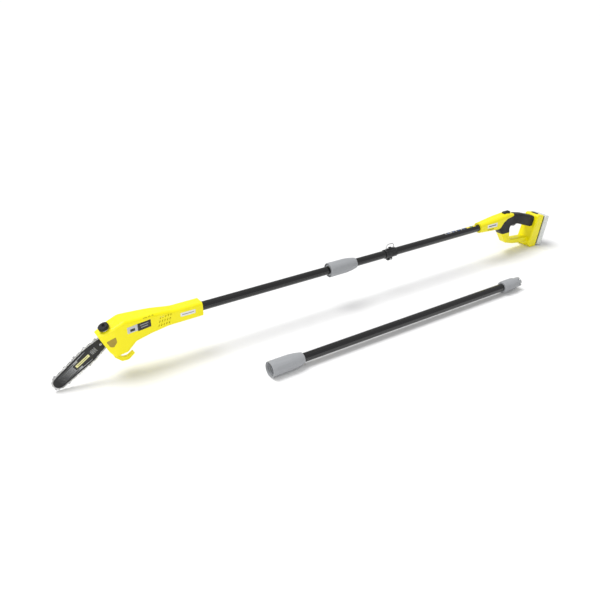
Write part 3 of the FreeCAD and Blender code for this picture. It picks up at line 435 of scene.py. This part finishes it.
def smoked_pane(name):
    """Amber, half-clear pane of the oil tank's window."""
    made, tree, shader = new_material(name)
    cloud = place_effect(tree, mottling, Scale=90.0, Detail=2.0).outputs["Tone"]
    tree.links.new(tint(tree, cloud, (0.40, 0.29, 0.02), (0.52, 0.38, 0.03)),
                   shader.inputs["Base Color"])
    tree.links.new(spread(tree, cloud, 0.3, 0.7, 0.10, 0.2), shader.inputs["Roughness"])
    shader.inputs["Transmission Weight"].default_value = 0.25
    shader.inputs["IOR"].default_value = 1.49
    return made


def printed(name, colour, rough=0.35):
    """Printed film or tape: slight mottling and a soft gloss."""
    made, tree, shader = new_material(name)
    cloud = place_effect(tree, mottling, Scale=300.0, Detail=3.0).outputs["Tone"]
    tree.links.new(tint(tree, cloud, scaled(colour, 0.93), scaled(colour, 1.03)),
                   shader.inputs["Base Color"])
    tree.links.new(spread(tree, cloud, 0.3, 0.7, rough - 0.04, rough + 0.06),
                   shader.inputs["Roughness"])
    bump(tree, shader, cloud, 0.00002, 0.3)
    return made


MATERIALS = {}


def finish_of(name):
    """The saw's finishes, each made the first time that it is wanted."""
    if name not in MATERIALS:
        colours = bpy.context.scene.polesaw_colours
        housing, trim = tuple(colours.housing), tuple(colours.trim)
        makers = {
            "housing_yellow": lambda n: moulded(n, housing, 0.38, 2400.0, coat=0.06),
            "housing_mark": lambda n: moulded(n, scaled(housing, 0.62), 0.4),
            "trim_black": lambda n: moulded(n, trim, 0.42, 2200.0, wear=0.5),
            "joint_grey": lambda n: moulded(n, tuple(colours.joint), 0.48, 2000.0),
            "insert_black": lambda n: moulded(n, scaled(trim, 1.3), 0.5),
            "trigger_grey": lambda n: moulded(n, (0.16, 0.16, 0.17), 0.42),
            "gear_nylon": lambda n: moulded(n, (0.72, 0.70, 0.63), 0.4),
            "tank_milk": lambda n: moulded(n, (0.78, 0.77, 0.68), 0.4),
            "cell_sleeve": lambda n: moulded(n, (0.06, 0.26, 0.18), 0.3),
            "board_green": lambda n: moulded(n, (0.02, 0.16, 0.06), 0.3),
            "grip_rubber": lambda n: soft_rubber(n, (0.009, 0.009, 0.011)),
            "seal_rubber": lambda n: soft_rubber(n, (0.012, 0.012, 0.012)),
            "tube_paint": lambda n: painted_tube(n, tuple(colours.tube)),
            "bar_black": lambda n: metal(n, (0.010, 0.010, 0.011), 0.45,
                                         (300.0, 900.0, 300.0), metallic=0.1),
            "bar_print": lambda n: printed(n, (0.42, 0.43, 0.44)),
            "chain_steel": lambda n: metal(n, (0.52, 0.52, 0.52), 0.30,
                                           stain=(0.20, 0.19, 0.17)),
            "cutter_chrome": lambda n: metal(n, (0.70, 0.70, 0.71), 0.20),
            "bright_steel": lambda n: metal(n, (0.60, 0.60, 0.60), 0.28),
            "plated_steel": lambda n: metal(n, (0.42, 0.42, 0.43), 0.35),
            "cast_alloy": lambda n: metal(n, (0.62, 0.63, 0.64), 0.45),
            "contact_brass": lambda n: metal(n, (0.78, 0.56, 0.22), 0.28),
            "pack_frost": lambda n: frosted(n, tuple(colours.pack)),
            "pack_grey": lambda n: moulded(n, (0.10, 0.10, 0.105), 0.45),
            "window_amber": lambda n: smoked_pane(n),
            "film_white": lambda n: printed(n, (0.80, 0.80, 0.79)),
            "film_silver": lambda n: printed(n, (0.52, 0.53, 0.54), 0.3),
            "film_black": lambda n: printed(n, (0.012, 0.012, 0.012), 0.3),
            "film_cream": lambda n: printed(n, (0.83, 0.80, 0.36)),
            "film_grey": lambda n: printed(n, (0.30, 0.31, 0.32)),
            "tape_green": lambda n: printed(n, (0.20, 0.42, 0.12)),
            "tape_blue": lambda n: printed(n, (0.05, 0.14, 0.42)),
            "tape_yellow": lambda n: printed(n, (0.86, 0.70, 0.03)),
        }
        MATERIALS[name] = makers[name](name)
    return MATERIALS[name]


def dress(finish, *names):
    """Give CAD nodes a finish."""
    for name in names:
        mesh = NODES[name].data
        mesh.materials.clear()
        mesh.materials.append(finish_of(finish))


def soften(width, *names):
    """Round the sharp moulded edges of CAD nodes, in metres."""
    for name in names:
        rounding = NODES[name].modifiers.new("soft_edges", "BEVEL")
        rounding.width = width
        rounding.segments = 2
        rounding.limit_method = "ANGLE"
        rounding.angle_limit = math.radians(42)
        rounding.harden_normals = False


# ---- mesh helpers ----
def piece_from(name, mesh_data, finish, body, smooth=False):
    """Turn a bmesh into a piece that rides on a body and takes a finish."""
    mesh = bpy.data.meshes.new(name)
    bmesh.ops.recalc_face_normals(mesh_data, faces=mesh_data.faces)
    mesh_data.to_mesh(mesh)
    mesh_data.free()
    for polygon in mesh.polygons:
        polygon.use_smooth = smooth
    made = bpy.data.objects.new(name, mesh)
    bpy.context.scene.collection.objects.link(made)
    mesh.materials.append(finish_of(finish))
    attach(made, body)
    return made


def prism(target, lower, upper):
    """Close two equal rings of points into a solid."""
    first = [target.verts.new(point) for point in lower]
    second = [target.verts.new(point) for point in upper]
    count = len(first)
    target.faces.new(first[::-1])
    target.faces.new(second)
    for i in range(count):
        j = (i + 1) % count
        target.faces.new((first[i], first[j], second[j], second[i]))


def arc(cx, cy, radius, start, stop, steps):
    """Points on an arc, angles in degrees."""
    turns = [math.radians(start + (stop - start) * i / steps) for i in range(steps + 1)]
    return [(cx + radius * math.cos(t), cy + radius * math.sin(t)) for t in turns]


def rounded_box(width, height, radius, steps=4):
    """Outline of a rounded rectangle about its middle."""
    across, up = width / 2 - radius, height / 2 - radius
    corners = ((across, up), (-across, up), (-across, -up), (across, -up))
    return [point for k, (x, y) in enumerate(corners)
            for point in arc(x, y, radius, 90 * k, 90 * k + 90, steps)]


# ---- saw chain ----
def bar_rounds(sizes):
    """The three circles that the bar's outline wraps: place along the bar and radius, in mm."""
    return [(0, sizes.tail), (sizes.waist, sizes.half), (BAR_REACH / MM, sizes.nose)]


def rail_line(sizes):
    """Closed rail round the bar: the outline of three circles, walked by its normal's angle."""
    rounds = bar_rounds(sizes)
    points = []
    for i in range(720):
        c, s = math.cos(math.pi * i / 360), math.sin(math.pi * i / 360)
        along, radius = max(rounds, key=lambda r: r[0] * c + r[1])
        points.append((along + radius * c, radius * s))
    return points


def walk(points):
    """Cumulative length at each point of a closed line, and its total."""
    lengths = [0.0]
    for i, (x, y) in enumerate(points):
        nx, ny = points[(i + 1) % len(points)]
        lengths.append(lengths[-1] + math.hypot(nx - x, ny - y))
    return lengths


def rivet_places(points, lengths, count, height):
    """Places of the rivets, evenly along the line and a height outside it."""
    places = []
    i = 0
    for k in range(count):
        distance = lengths[-1] * (k + 0.5) / count
        while lengths[i + 1] < distance:
            i += 1
        (x, y), (nx, ny) = points[i], points[(i + 1) % len(points)]
        run = lengths[i + 1] - lengths[i]
        share = (distance - lengths[i]) / run
        tx, ty = (nx - x) / run, (ny - y) / run
        places.append((x + (nx - x) * share + ty * height, y + (ny - y) * share - tx * height))
    return places


def link_prism(target, outline, start, stop, side0, side1):
    """A link's plate: outline in millimetres about the middle of two rivets, out being positive."""
    mx, my = (start[0] + stop[0]) / 2, (start[1] + stop[1]) / 2
    run = math.hypot(stop[0] - start[0], stop[1] - start[1])
    tx, ty = (stop[0] - start[0]) / run, (stop[1] - start[1]) / run
    flat = [(mx + tx * t + ty * n, my + ty * t - tx * n) for t, n in outline]
    prism(target, [bar_point(a, u, side0) for a, u in flat],
          [bar_point(a, u, side1) for a, u in flat])


def strap_outline(pitch):
    """Side strap: two round bosses and a waist."""
    half = pitch / 2
    return (arc(half, 0, BOSS_R, -110, 100, 7) + [(0, 1.75)]
            + arc(-half, 0, BOSS_R, 80, 290, 7) + [(0, -1.55)])


def drive_outline(pitch):
    """Drive link: two round bosses and a tang that runs in the bar's groove."""
    half = pitch / 2
    tang = [(-1.9, -3.3), (-0.8, -6.1), (0.9, -6.2), (2.6, -3.2)]
    return arc(-half, 0, 1.9, 250, 80, 7) + [(0, 1.5)] + arc(half, 0, 1.9, 100, -70, 7) + tang[::-1]


def cutter_outline(pitch, high):
    """Cutter's side plate: depth gauge in front, gullet, and a heel that falls to the rear."""
    half = pitch / 2
    top = [(half + 2.1, 1.0), (half + 1.4, high * 0.80), (half - 4.4, high),
           (half - 5.4, high * 0.45), (half - 6.6, 1.2), (-half + 1.6, 1.6),
           (-half + 0.9, high * 0.82), (-half - 0.6, high * 0.84), (-half - 1.9, high * 0.45)]
    return (top + arc(-half, 0, BOSS_R, 165, 290, 5) + [(0, -1.55)]
            + arc(half, 0, BOSS_R, -110, -5, 5))


def top_plate_outline(pitch, high):
    """Cutter's top plate, seen from the side: it slopes down from its edge to its heel."""
    heel, edge = pitch / 2 + 1.4, pitch / 2 - 4.6
    return [(heel, high * 0.80), (edge, high), (edge, high - 0.9), (heel, high * 0.80 - 0.9)]


def rivet(target, centre):
    """A rivet through the chain, with a small crown at each end."""
    ring = [(centre[0] + x, centre[1] + y) for x, y in arc(0, 0, RIVET_R, 0, 324, 9)]
    crown = [(centre[0] + x, centre[1] + y) for x, y in arc(0, 0, RIVET_CROWN_R, 0, 324, 9)]
    prism(target, [bar_point(a, u, -2.2) for a, u in ring],
          [bar_point(a, u, 2.2) for a, u in ring])
    for out in (-1, 1):
        prism(target, [bar_point(a, u, out * 2.19) for a, u in ring],
              [bar_point(a, u, out * 2.5) for a, u in crown])


class POLESAW_OT_chain(bpy.types.Operator):
    """Build the saw chain link by link round the bar"""
    bl_idname = "polesaw.chain"
    bl_label = "Saw chain"

    def execute(self, context):
        sizes = context.scene.polesaw_chain
        points = rail_line(sizes)
        lengths = walk(points)
        count = 8 * round(lengths[-1] / sizes.pitch / 8)
        places = rivet_places(points, lengths, count, RIVET_HEIGHT)
        pitch = lengths[-1] / count
        high = sizes.cutter - RIVET_HEIGHT
        links, cutters = bmesh.new(), bmesh.new()
        for k in range(0, count, 2):
            start, middle, stop = places[k], places[k + 1], places[(k + 2) % count]
            link_prism(links, drive_outline(pitch), middle, stop, -DRIVE_HALF_T, DRIVE_HALF_T)
            side = CUTTER_CYCLE.get(k % 8, 0)
            for out in (-1, 1):
                inner, outer = out * STRAP_IN, out * STRAP_OUT
                if out == side:
                    link_prism(cutters, cutter_outline(pitch, high), start, middle, inner, outer)
                    link_prism(cutters, top_plate_outline(pitch, high), start, middle,
                               -out * 1.6, out * 3.15)
                else:
                    link_prism(links, strap_outline(pitch), start, middle, inner, outer)
            for centre in (start, middle):
                rivet(links, centre)
        chain = piece_from("chain_links", links, "chain_steel", "head")
        teeth = piece_from("chain_cutters", cutters, "cutter_chrome", "head")
        for part in (chain, teeth):
            edge = part.modifiers.new("rolled_edges", "BEVEL")
            edge.width = 0.00010
            edge.segments = 1
            edge.limit_method = "ANGLE"
            edge.angle_limit = math.radians(50)
        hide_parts("saw_chain")
        return {"FINISHED"}


# ---- guide bar ----
def bar_slab(target, outline, side, low=0.02, high=0.12):
    """A thin printed layer on one face of the bar; side is -1 for the near face."""
    face = BAR_HALF_T / MM
    prism(target, [bar_point(a, u, side * (face - low)) for a, u in outline],
          [bar_point(a, u, side * (face + high)) for a, u in outline])


def inset_edge(sizes, inset, start, stop, steps=26):
    """Points along the bar's upper edge, drawn in by inset, from start to stop."""
    rounds = bar_rounds(sizes)
    points = []
    for i in range(steps + 1):
        along = start + (stop - start) * i / steps
        best = 0.0
        for k in range(60, 121):
            c, s = math.cos(math.pi * k / 180), math.sin(math.pi * k / 180)
            reach = max(r[0] * c + r[1] for r in rounds) - inset
            height = (reach - along * c) / s
            best = height if k == 60 else min(best, height)
        points.append((along, best))
    return points


def label_plate(width, height, radius):
    """Outline of a rounded plate about the middle of the bar's label."""
    return [(LABEL_ALONG + x, y) for x, y in rounded_box(width, height, radius)]


class POLESAW_OT_bar(bpy.types.Operator):
    """Finish the guide bar and print its outline, dots and blank label on both faces"""
    bl_idname = "polesaw.bar"
    bl_label = "Guide bar"

    def execute(self, context):
        sizes = context.scene.polesaw_chain
        dress("bar_black", "guide_bar")
        dress("bright_steel", "nose_sprocket", "tension_slider", "tension_screw")
        reach = BAR_REACH / MM
        lines, dots, label, frame_art = bmesh.new(), bmesh.new(), bmesh.new(), bmesh.new()
        for side in (-1, 1):
            for up in (-1, 1):
                outer = inset_edge(sizes, 5.2, reach * 0.50, reach * 0.97)
                width = [1.3 * math.sin(math.pi * min(1.0, 0.12 + i / 20)) + 0.25
                         for i in range(len(outer))]
                inner = [(a, u - w) for (a, u), w in zip(outer, width)]
                ring = [(a, u * up) for a, u in outer + inner[::-1]]
                bar_slab(lines, ring, side)
            for column in range(23):
                along = reach * 0.66 + column * DOT_PITCH
                edge = inset_edge(sizes, 6.4, along, along + 0.1, 1)[0][1]
                size = 1.5 - 1.2 * column / 22
                for row in range(-7, 8):
                    up = row * DOT_PITCH
                    if abs(up) + size < edge and along < reach + 3:
                        bar_slab(dots, [(along + x, up + y)
                                        for x, y in rounded_box(2 * size, 2 * size, size * 0.6, 2)],
                                 side)
            bar_slab(frame_art, label_plate(58, 18, 3), side, high=0.15)
            bar_slab(label, label_plate(46, 8.4, 0.8), side, high=0.20)
            bar_slab(frame_art, label_plate(36, 1.5, 0.4), side, high=0.24)
            for k in range(6):
                strip = [(LABEL_ALONG - 46 + k * 3.0 + x, y)
                         for x, y in rounded_box(1.1, 16 - 4 * (k % 2), 0.3, 2)]
                bar_slab(lines, strip, side)
        piece_from("bar_outline_print", lines, "bar_print", "bar")
        piece_from("bar_dot_print", dots, "bar_print", "bar")
        piece_from("bar_label_frame", frame_art, "film_black", "bar")
        piece_from("bar_label", label, "film_cream", "bar")
        ring = bmesh.new()
        for side in (-1, 1):
            for start in (0, 180):
                half_ring = arc(OIL_HOLE, 0, 3.2, start, start + 180, 8)
                bar_slab(ring, half_ring + arc(OIL_HOLE, 0, 1.7, start + 180, start, 8), side)
        piece_from("bar_oil_eyelet", ring, "bright_steel", "bar")
        return {"FINISHED"}


# ---- labels and marks that follow a housing's surface ----
def surface_of(name):
    """A CAD node's surface, for rays."""
    mesh = NODES[name].data
    return BVHTree.FromPolygons([v.co.copy() for v in mesh.vertices],
                                [list(p.vertices) for p in mesh.polygons])


def film(name, tree, corners, direction, finish, body, thick=FILM_T, steps=14):
    """A label between four corners, laid on the surface that lies along a direction."""
    target = bmesh.new()
    low, high = [], []
    for j in range(steps + 1):
        for i in range(steps + 1):
            u, v = i / steps, j / steps
            left = corners[0].lerp(corners[3], v)
            right = corners[1].lerp(corners[2], v)
            start = left.lerp(right, u)
            hit = tree.ray_cast(start, direction, 0.3)[0]
            if hit is None:
                raise RuntimeError(name + " misses the surface")
            edge = min(u, 1 - u, v, 1 - v) * steps
            rise = thick * MM * (0.55 if edge < 0.5 else 1.0)
            high.append(target.verts.new(hit - direction * rise))
            low.append(target.verts.new(hit + direction * 0.3 * MM))
    row = steps + 1
    for j in range(steps):
        for i in range(steps):
            a, d = j * row + i, (j + 1) * row + i
            b, c = a + 1, d + 1
            target.faces.new((high[a], high[b], high[c], high[d]))
            target.faces.new((low[a], low[d], low[c], low[b]))
    rim = (list(range(row)) + [k * row + steps for k in range(1, row)]
           + [steps * row + i for i in range(steps - 1, -1, -1)]
           + [k * row for k in range(steps - 1, 0, -1)])
    for k, i in enumerate(rim):
        j = rim[(k + 1) % len(rim)]
        target.faces.new((low[i], low[j], high[j], high[i]))
    return piece_from(name, target, finish, body, smooth=True)


def side_corners(points, origin_x, side):
    """Label corners beside a housing, from (x, z) in millimetres off the pole's axis."""
    return [Vector((origin_x + x * MM, side * SIDE_START, POLE_Z + z * MM)) for x, z in points]


def slanted(x0, x1, low0, high0, low1, high1):
    """Corners of a label with upright ends, each end with its own low and high edge."""
    return [(x0, low0), (x1, low1), (x1, high1), (x0, high0)]


# Name, finish, thickness and corners of each blank label, by side for the head.
HEAD_LABELS = {
    -1: (("head_label_%s_silver", "film_silver", FILM_T, (-229, -199, -4, 15, -2, 18)),
         ("head_label_%s_black", "film_black", FILM_T, (-199, -160, -5, 18, -2, 20)),
         ("head_label_%s_line_high", "film_grey", RAISED_FILM_T, (-192, -167, 10, 12.5, 11.5, 14)),
         ("head_label_%s_line_low", "film_grey", RAISED_FILM_T, (-190, -169, 3, 5.5, 4.5, 7)),
         ("head_label_%s_chip", "film_black", RAISED_FILM_T, (-221, -207, 0, 8, 1, 9))),
    1: (("head_label_%s_plate", "film_silver", FILM_T, (-205, -150, -2, 18, 0, 16)),
        ("head_label_%s_line", "film_grey", RAISED_FILM_T, (-198, -158, 6, 9, 6, 9))),
}
SOCKET_LABELS = (
    ("socket_label_%s", "film_white", FILM_T, (-70, -24, -3, 9, -3, 9)),
    ("socket_label_line_%s", "film_grey", RAISED_FILM_T, (-66, -28, 1.2, 4.2, 1.2, 4.2)))
HANDLE_LABELS = (
    ("handle_label_%s", "film_white", FILM_T, (32, 82, -3, 10, -4, 12)),
    ("handle_label_line_%s", "film_black", RAISED_FILM_T, (38, 76, 1.6, 5, 2.2, 6)),
    ("handle_mark_%s", "film_black", FILM_T, (34, 66, -11, -8.4, -11, -8.4)))
SIDES = ((-1, "left", "near"), (1, "right", "far"))


class POLESAW_OT_labels(bpy.types.Operator):
    """Lay the blank labels and small raised marks on both housings"""
    bl_idname = "polesaw.labels"
    bl_label = "Labels"

    def execute(self, context):
        for side, half, word in SIDES:
            tree = surface_of("head_shell_" + half)
            self.stick(HEAD_LABELS[side] + SOCKET_LABELS, tree, HEAD_REAR, side, word, "head")
        near = surface_of("head_shell_left")
        for k, (x, long) in enumerate(((-181, 12), (-166, 8), (-155, 6))):
            film("head_mark_%d" % k, near,
                 side_corners(slanted(x, x + long, 27, 29.5, 27, 29.5), HEAD_REAR, -1),
                 TOWARD[-1], "housing_mark", "head", 0.3, 6)
        for side, half, word in SIDES:
            tree = surface_of("handle_shell_" + half)
            self.stick(HANDLE_LABELS, tree, HANDLE_FRONT, side, word, "handle")
        return {"FINISHED"}

    @staticmethod
    def stick(labels, tree, origin, side, word, body):
        """Lay a list of labels on one side of a housing."""
        for name, finish, thick, points in labels:
            film(name % word, tree, side_corners(slanted(*points), origin, side),
                 TOWARD[side], finish, body, thick)


# ---- tubes ----
def sleeve(target, x0, x1, radius, thick, start, stop, steps=28):
    """A strip of film round the pole, from one angle to another, counted from +Y over the top."""
    rings = []
    for x in (x0, x1):
        for r in (radius, radius + thick):
            ring = []
            for i in range(steps + 1):
                t = math.radians(start + (stop - start) * i / steps)
                ring.append(target.verts.new((x, r * math.cos(t), POLE_Z + r * math.sin(t))))
            rings.append(ring)
    inner0, outer0, inner1, outer1 = rings
    for i in range(steps):
        target.faces.new((outer0[i], outer0[i + 1], outer1[i + 1], outer1[i]))
        target.faces.new((inner0[i], inner1[i], inner1[i + 1], inner0[i + 1]))
        target.faces.new((inner0[i], inner0[i + 1], outer0[i + 1], outer0[i]))
        target.faces.new((inner1[i], outer1[i], outer1[i + 1], inner1[i + 1]))
    for i in (0, steps):
        target.faces.new((inner0[i], outer0[i], outer1[i], inner1[i]))


class POLESAW_OT_tubes(bpy.types.Operator):
    """Paint the tubes and lay the coloured instruction strip ahead of the handle"""
    bl_idname = "polesaw.tubes"
    bl_label = "Tubes"

    def execute(self, context):
        dress("tube_paint", "head_tube", "handle_tube", "extension_tube")
        jobs = [("ground", -176, -8, "film_black", 0.10, 64, 116)]
        jobs += [("bar_%d" % k, -170 + 13 * k, -165.5 + 13 * k, ("film_silver", "tape_blue")[k % 2],
                  0.16, 70, 108) for k in range(8)]
        jobs += [("block_a", -62, -44, "tape_yellow", 0.16, 68, 110),
                 ("block_b", -40, -34, "tape_green", 0.16, 68, 110),
                 ("block_c", -30, -14, "tape_yellow", 0.16, 68, 110)]
        for word, x0, x1, finish, thick, start, stop in jobs:
            strip = bmesh.new()
            sleeve(strip, HANDLE_FRONT + x0 * MM, HANDLE_FRONT + x1 * MM, POLE_R, thick * MM,
                   start, stop)
            piece_from("tube_strip_" + word, strip, finish, "handle", smooth=True)
        return {"FINISHED"}


class POLESAW_OT_joints(bpy.types.Operator):
    """Finish the union nuts, collars, spigots and what is inside the pole joints"""
    bl_idname = "polesaw.joints"
    bl_label = "Pole joints"

    def execute(self, context):
        dress("joint_grey", "union_nut", "extension_nut", "head_collar", "extension_collar",
              "head_spigot", "extension_spigot")
        dress("insert_black", "handle_bush", "extension_bush", "handle_contacts",
              "extension_contacts")
        dress("contact_brass", "head_pins", "extension_pins", "dock_terminals")
        soften(0.0006, "union_nut", "extension_nut", "extension_spigot")
        return {"FINISHED"}


class POLESAW_OT_housings(bpy.types.Operator):
    """Finish the saw head, the handle and their caps, buttons and hook"""
    bl_idname = "polesaw.housings"
    bl_label = "Housings"

    def execute(self, context):
        dress("housing_yellow", "head_shell_left", "head_shell_right", "sprocket_cover",
              "branch_hook", "handle_shell_left", "handle_shell_right")
        dress("trim_black", "oil_cap", "lock_button", "pack_latch", "battery_dock", "strap_clamp")
        dress("window_amber", "oil_window")
        dress("grip_rubber", "grip_rubber")
        dress("seal_rubber", "oil_gasket")
        dress("trigger_grey", "trigger")
        soften(0.0016, "branch_hook")
        soften(0.0008, "trigger", "pack_latch", "strap_clamp")
        return {"FINISHED"}


class POLESAW_OT_works(bpy.types.Operator):
    """Finish the gears, motor, tank and electrics inside"""
    bl_idname = "polesaw.works"
    bl_label = "Inner works"

    def execute(self, context):
        dress("gear_nylon", "drive_gear", "idler_gear")
        dress("bright_steel", "motor_pinion", "drive_shaft", "drive_sprocket", "bar_nuts",
              "trigger_pin", "clamp_screw", "strap_ring", "saw_chain")
        dress("plated_steel", "motor_can", "motor_rotor")
        dress("cast_alloy", "gear_plate")
        dress("tank_milk", "oil_tank")
        dress("insert_black", "switch_unit")
        dress("board_green", "control_board")
        dress("cell_sleeve", "battery_cells")
        return {"FINISHED"}


# ---- battery ----
class POLESAW_OT_battery(bpy.types.Operator):
    """Finish the battery case and add its rear panel, ribs, charge lights and button"""
    bl_idname = "polesaw.battery"
    bl_label = "Battery"

    def execute(self, context):
        dress("pack_frost", "battery_case")
        rail = Vector(JOINTS["battery_slide"]["axis"])
        out = Vector((rail.z, 0, -rail.x))
        corners = [v.co for v in NODES["battery_case"].data.vertices]
        rear = max(c.dot(out) for c in corners)
        low = min(c.dot(rail) for c in corners)

        def on_rear(across, up, proud):
            return out * (rear + proud * MM) + rail * (low + up * MM) + Y_AXIS * (across * MM)

        def pad(target, across, up, outline, base, top):
            """A flat pad on the rear face, about a middle."""
            prism(target, [on_rear(across + x, up + y, base) for x, y in outline],
                  [on_rear(across + x, up + y, top) for x, y in outline])

        panel, ribs, lights, key = bmesh.new(), bmesh.new(), bmesh.new(), bmesh.new()
        pad(panel, 0, 58, rounded_box(52, 84, 6), -1.0, 0.7)
        for k in range(6):
            middle = 26 + k * 9
            bar = rounded_box(40, 3.6, 1.6)
            prism(ribs, [on_rear(x, middle + y, 0.5) for x, y in bar],
                  [on_rear(x * 0.985, middle + y * 0.7, 1.5) for x, y in bar])
        for k in range(4):
            pad(lights, -12 + k * 8, 88, rounded_box(5.0, 2.4, 1.1), 0.5, 1.1)
        pad(key, 0, 95, rounded_box(9, 5, 2.4), 0.5, 1.4)
        piece_from("pack_panel", panel, "pack_grey", "battery")
        piece_from("pack_ribs", ribs, "trim_black", "battery")
        piece_from("pack_lights", lights, "tape_green", "battery")
        piece_from("pack_key", key, "film_grey", "battery")
        return {"FINISHED"}


# ---- fasteners ----
def screw_head(target, centre, normal, radius):
    """A domed screw head with a six-lobed recess, standing on a surface."""
    side = normal.cross(Z_AXIS).normalized()
    up = side.cross(normal).normalized()

    def ring(share, height, lobes=0.0):
        points = []
        for i in range(24):
            t = math.tau * i / 24
            r = radius * share * (1 + lobes * math.cos(6 * t))
            points.append(target.verts.new(centre + (side * math.cos(t) + up * math.sin(t)) * r
                                           + normal * height))
        return points

    rings = [ring(1.0, -0.4 * MM), ring(1.0, 0.15 * MM), ring(0.86, 0.6 * MM),
             ring(0.50, 0.85 * MM, 0.13), ring(0.46, -0.1 * MM, 0.13)]
    for first, second in zip(rings, rings[1:]):
        for i in range(24):
            j = (i + 1) % 24
            target.faces.new((first[i], first[j], second[j], second[i]))
    target.faces.new(rings[0][::-1])
    target.faces.new(rings[-1])


class POLESAW_OT_screws(bpy.types.Operator):
    """Set the housing screws on the far side of the head and the handle"""
    bl_idname = "polesaw.screws"
    bl_label = "Housing screws"

    def execute(self, context):
        jobs = (("head_screws", "head_shell_right", "head", HEAD_REAR,
                 ((-10, 0), (-92, 12), (-92, -14), (-140, 22), (-214, 25), (-212, -26))),
                ("handle_screws", "handle_shell_right", "handle", HANDLE_FRONT,
                 ((10, 0), (75, -12), (108, 18), (306, -20), (306, -92), (190, -96))))
        for name, node, body, origin, places in jobs:
            tree = surface_of(node)
            heads = bmesh.new()
            for x, z in places:
                start = side_corners([(x, z)], origin, 1)[0]
                hit, normal = tree.ray_cast(start, -Y_AXIS, SIDE_START)[:2]
                if hit is None:
                    raise RuntimeError("%s misses at %s" % (name, (x, z)))
                normal = normal if normal.y > 0 else -normal
                screw_head(heads, hit, normal, 3.2 * MM)
            piece_from(name, heads, "plated_steel", body, smooth=True)
        return {"FINISHED"}


# ---- stage ----
class POLESAW_OT_stage(bpy.types.Operator):
    """Lay the pale floor, hang the soft lights and set the camera"""
    bl_idname = "polesaw.stage"
    bl_label = "Stage"

    def execute(self, context):
        stage = context.scene.polesaw_stage
        ground = bmesh.new()
        half = stage.floor / 2
        ground.faces.new([ground.verts.new((x * half, y * half, 0))
                          for x, y in ((-1, -1), (1, -1), (1, 1), (-1, 1))])
        mesh = bpy.data.meshes.new("floor")
        ground.to_mesh(mesh)
        ground.free()
        floor = bpy.data.objects.new("floor", mesh)
        context.scene.collection.objects.link(floor)
        pale, tree, shader = new_material("floor_paper")
        cloud = place_effect(tree, mottling, Scale=3.0, Detail=2.0).outputs["Tone"]
        tree.links.new(tint(tree, cloud, (0.90, 0.90, 0.90), (0.93, 0.93, 0.93)),
                       shader.inputs["Base Color"])
        shader.inputs["Roughness"].default_value = 0.9
        shader.inputs["Specular IOR Level"].default_value = 0.1
        mesh.materials.append(pale)
        world = bpy.data.worlds.new("soft_sky")
        world.use_nodes = True
        back = world.node_tree.nodes["Background"]
        back.inputs["Color"].default_value = (1, 1, 1, 1)
        back.inputs["Strength"].default_value = stage.sky
        context.scene.world = world
        key = bpy.data.lights.new("key_light", "SUN")
        key.energy = stage.key
        key.angle = KEY_SPREAD
        side = bpy.data.lights.new("side_light", "AREA")
        side.size = SIDE_SIZE
        side.energy = stage.side
        self.hang(context, key, KEY_PLACE, KEY_AIM)
        self.hang(context, side, SIDE_PLACE, SIDE_AIM)
        camera = bpy.data.cameras.new("camera")
        camera.lens = stage.lens
        camera.sensor_width = 36.0
        holder = bpy.data.objects.new("camera", camera)
        context.scene.collection.objects.link(holder)
        holder.location = CAMERA_PLACE
        holder.rotation_euler = CAMERA_TURN
        context.scene.camera = holder
        context.scene.view_settings.view_transform = "Standard"
        return {"FINISHED"}

    @staticmethod
    def hang(context, lamp, place, aim):
        """Hang a lamp at a place and turn it to its aim."""
        held = bpy.data.objects.new(lamp.name, lamp)
        context.scene.collection.objects.link(held)
        held.location = place
        held.rotation_euler = (Vector(aim) - Vector(place)).to_track_quat("-Z", "Y").to_euler()


class POLESAW_PT_panel(bpy.types.Panel):
    """Sidebar list of the saw's pieces"""
    bl_label = "Pole Saw"
    bl_idname = "POLESAW_PT_panel"
    bl_space_type = "VIEW_3D"
    bl_region_type = "UI"
    bl_category = "Pole Saw"

    def draw(self, context):
        scene = context.scene
        for settings in (scene.polesaw_colours, scene.polesaw_chain, scene.polesaw_stage):
            box = self.layout.box()
            for label in settings.__annotations__:
                box.prop(settings, label)
        for operator in OPERATORS:
            self.layout.operator(operator.bl_idname)


OPERATORS = (POLESAW_OT_housings, POLESAW_OT_works, POLESAW_OT_tubes, POLESAW_OT_joints,
             POLESAW_OT_bar, POLESAW_OT_chain, POLESAW_OT_labels, POLESAW_OT_battery,
             POLESAW_OT_screws, POLESAW_OT_stage)
CLASSES = (PoleSawChain, PoleSawColours, PoleSawStage, *OPERATORS, POLESAW_PT_panel)


def register():
    for cls in CLASSES:
        bpy.utils.register_class(cls)
    bpy.types.Scene.polesaw_chain = bpy.props.PointerProperty(type=PoleSawChain)
    bpy.types.Scene.polesaw_colours = bpy.props.PointerProperty(type=PoleSawColours)
    bpy.types.Scene.polesaw_stage = bpy.props.PointerProperty(type=PoleSawStage)


def unregister():
    del bpy.types.Scene.polesaw_chain
    del bpy.types.Scene.polesaw_colours
    del bpy.types.Scene.polesaw_stage
    for cls in reversed(CLASSES):
        bpy.utils.unregister_class(cls)


def main():
    register()
    for operator in OPERATORS:
        group, name = operator.bl_idname.split(".")
        getattr(getattr(bpy.ops, group), name)()


if __name__ == "__main__":
    main()
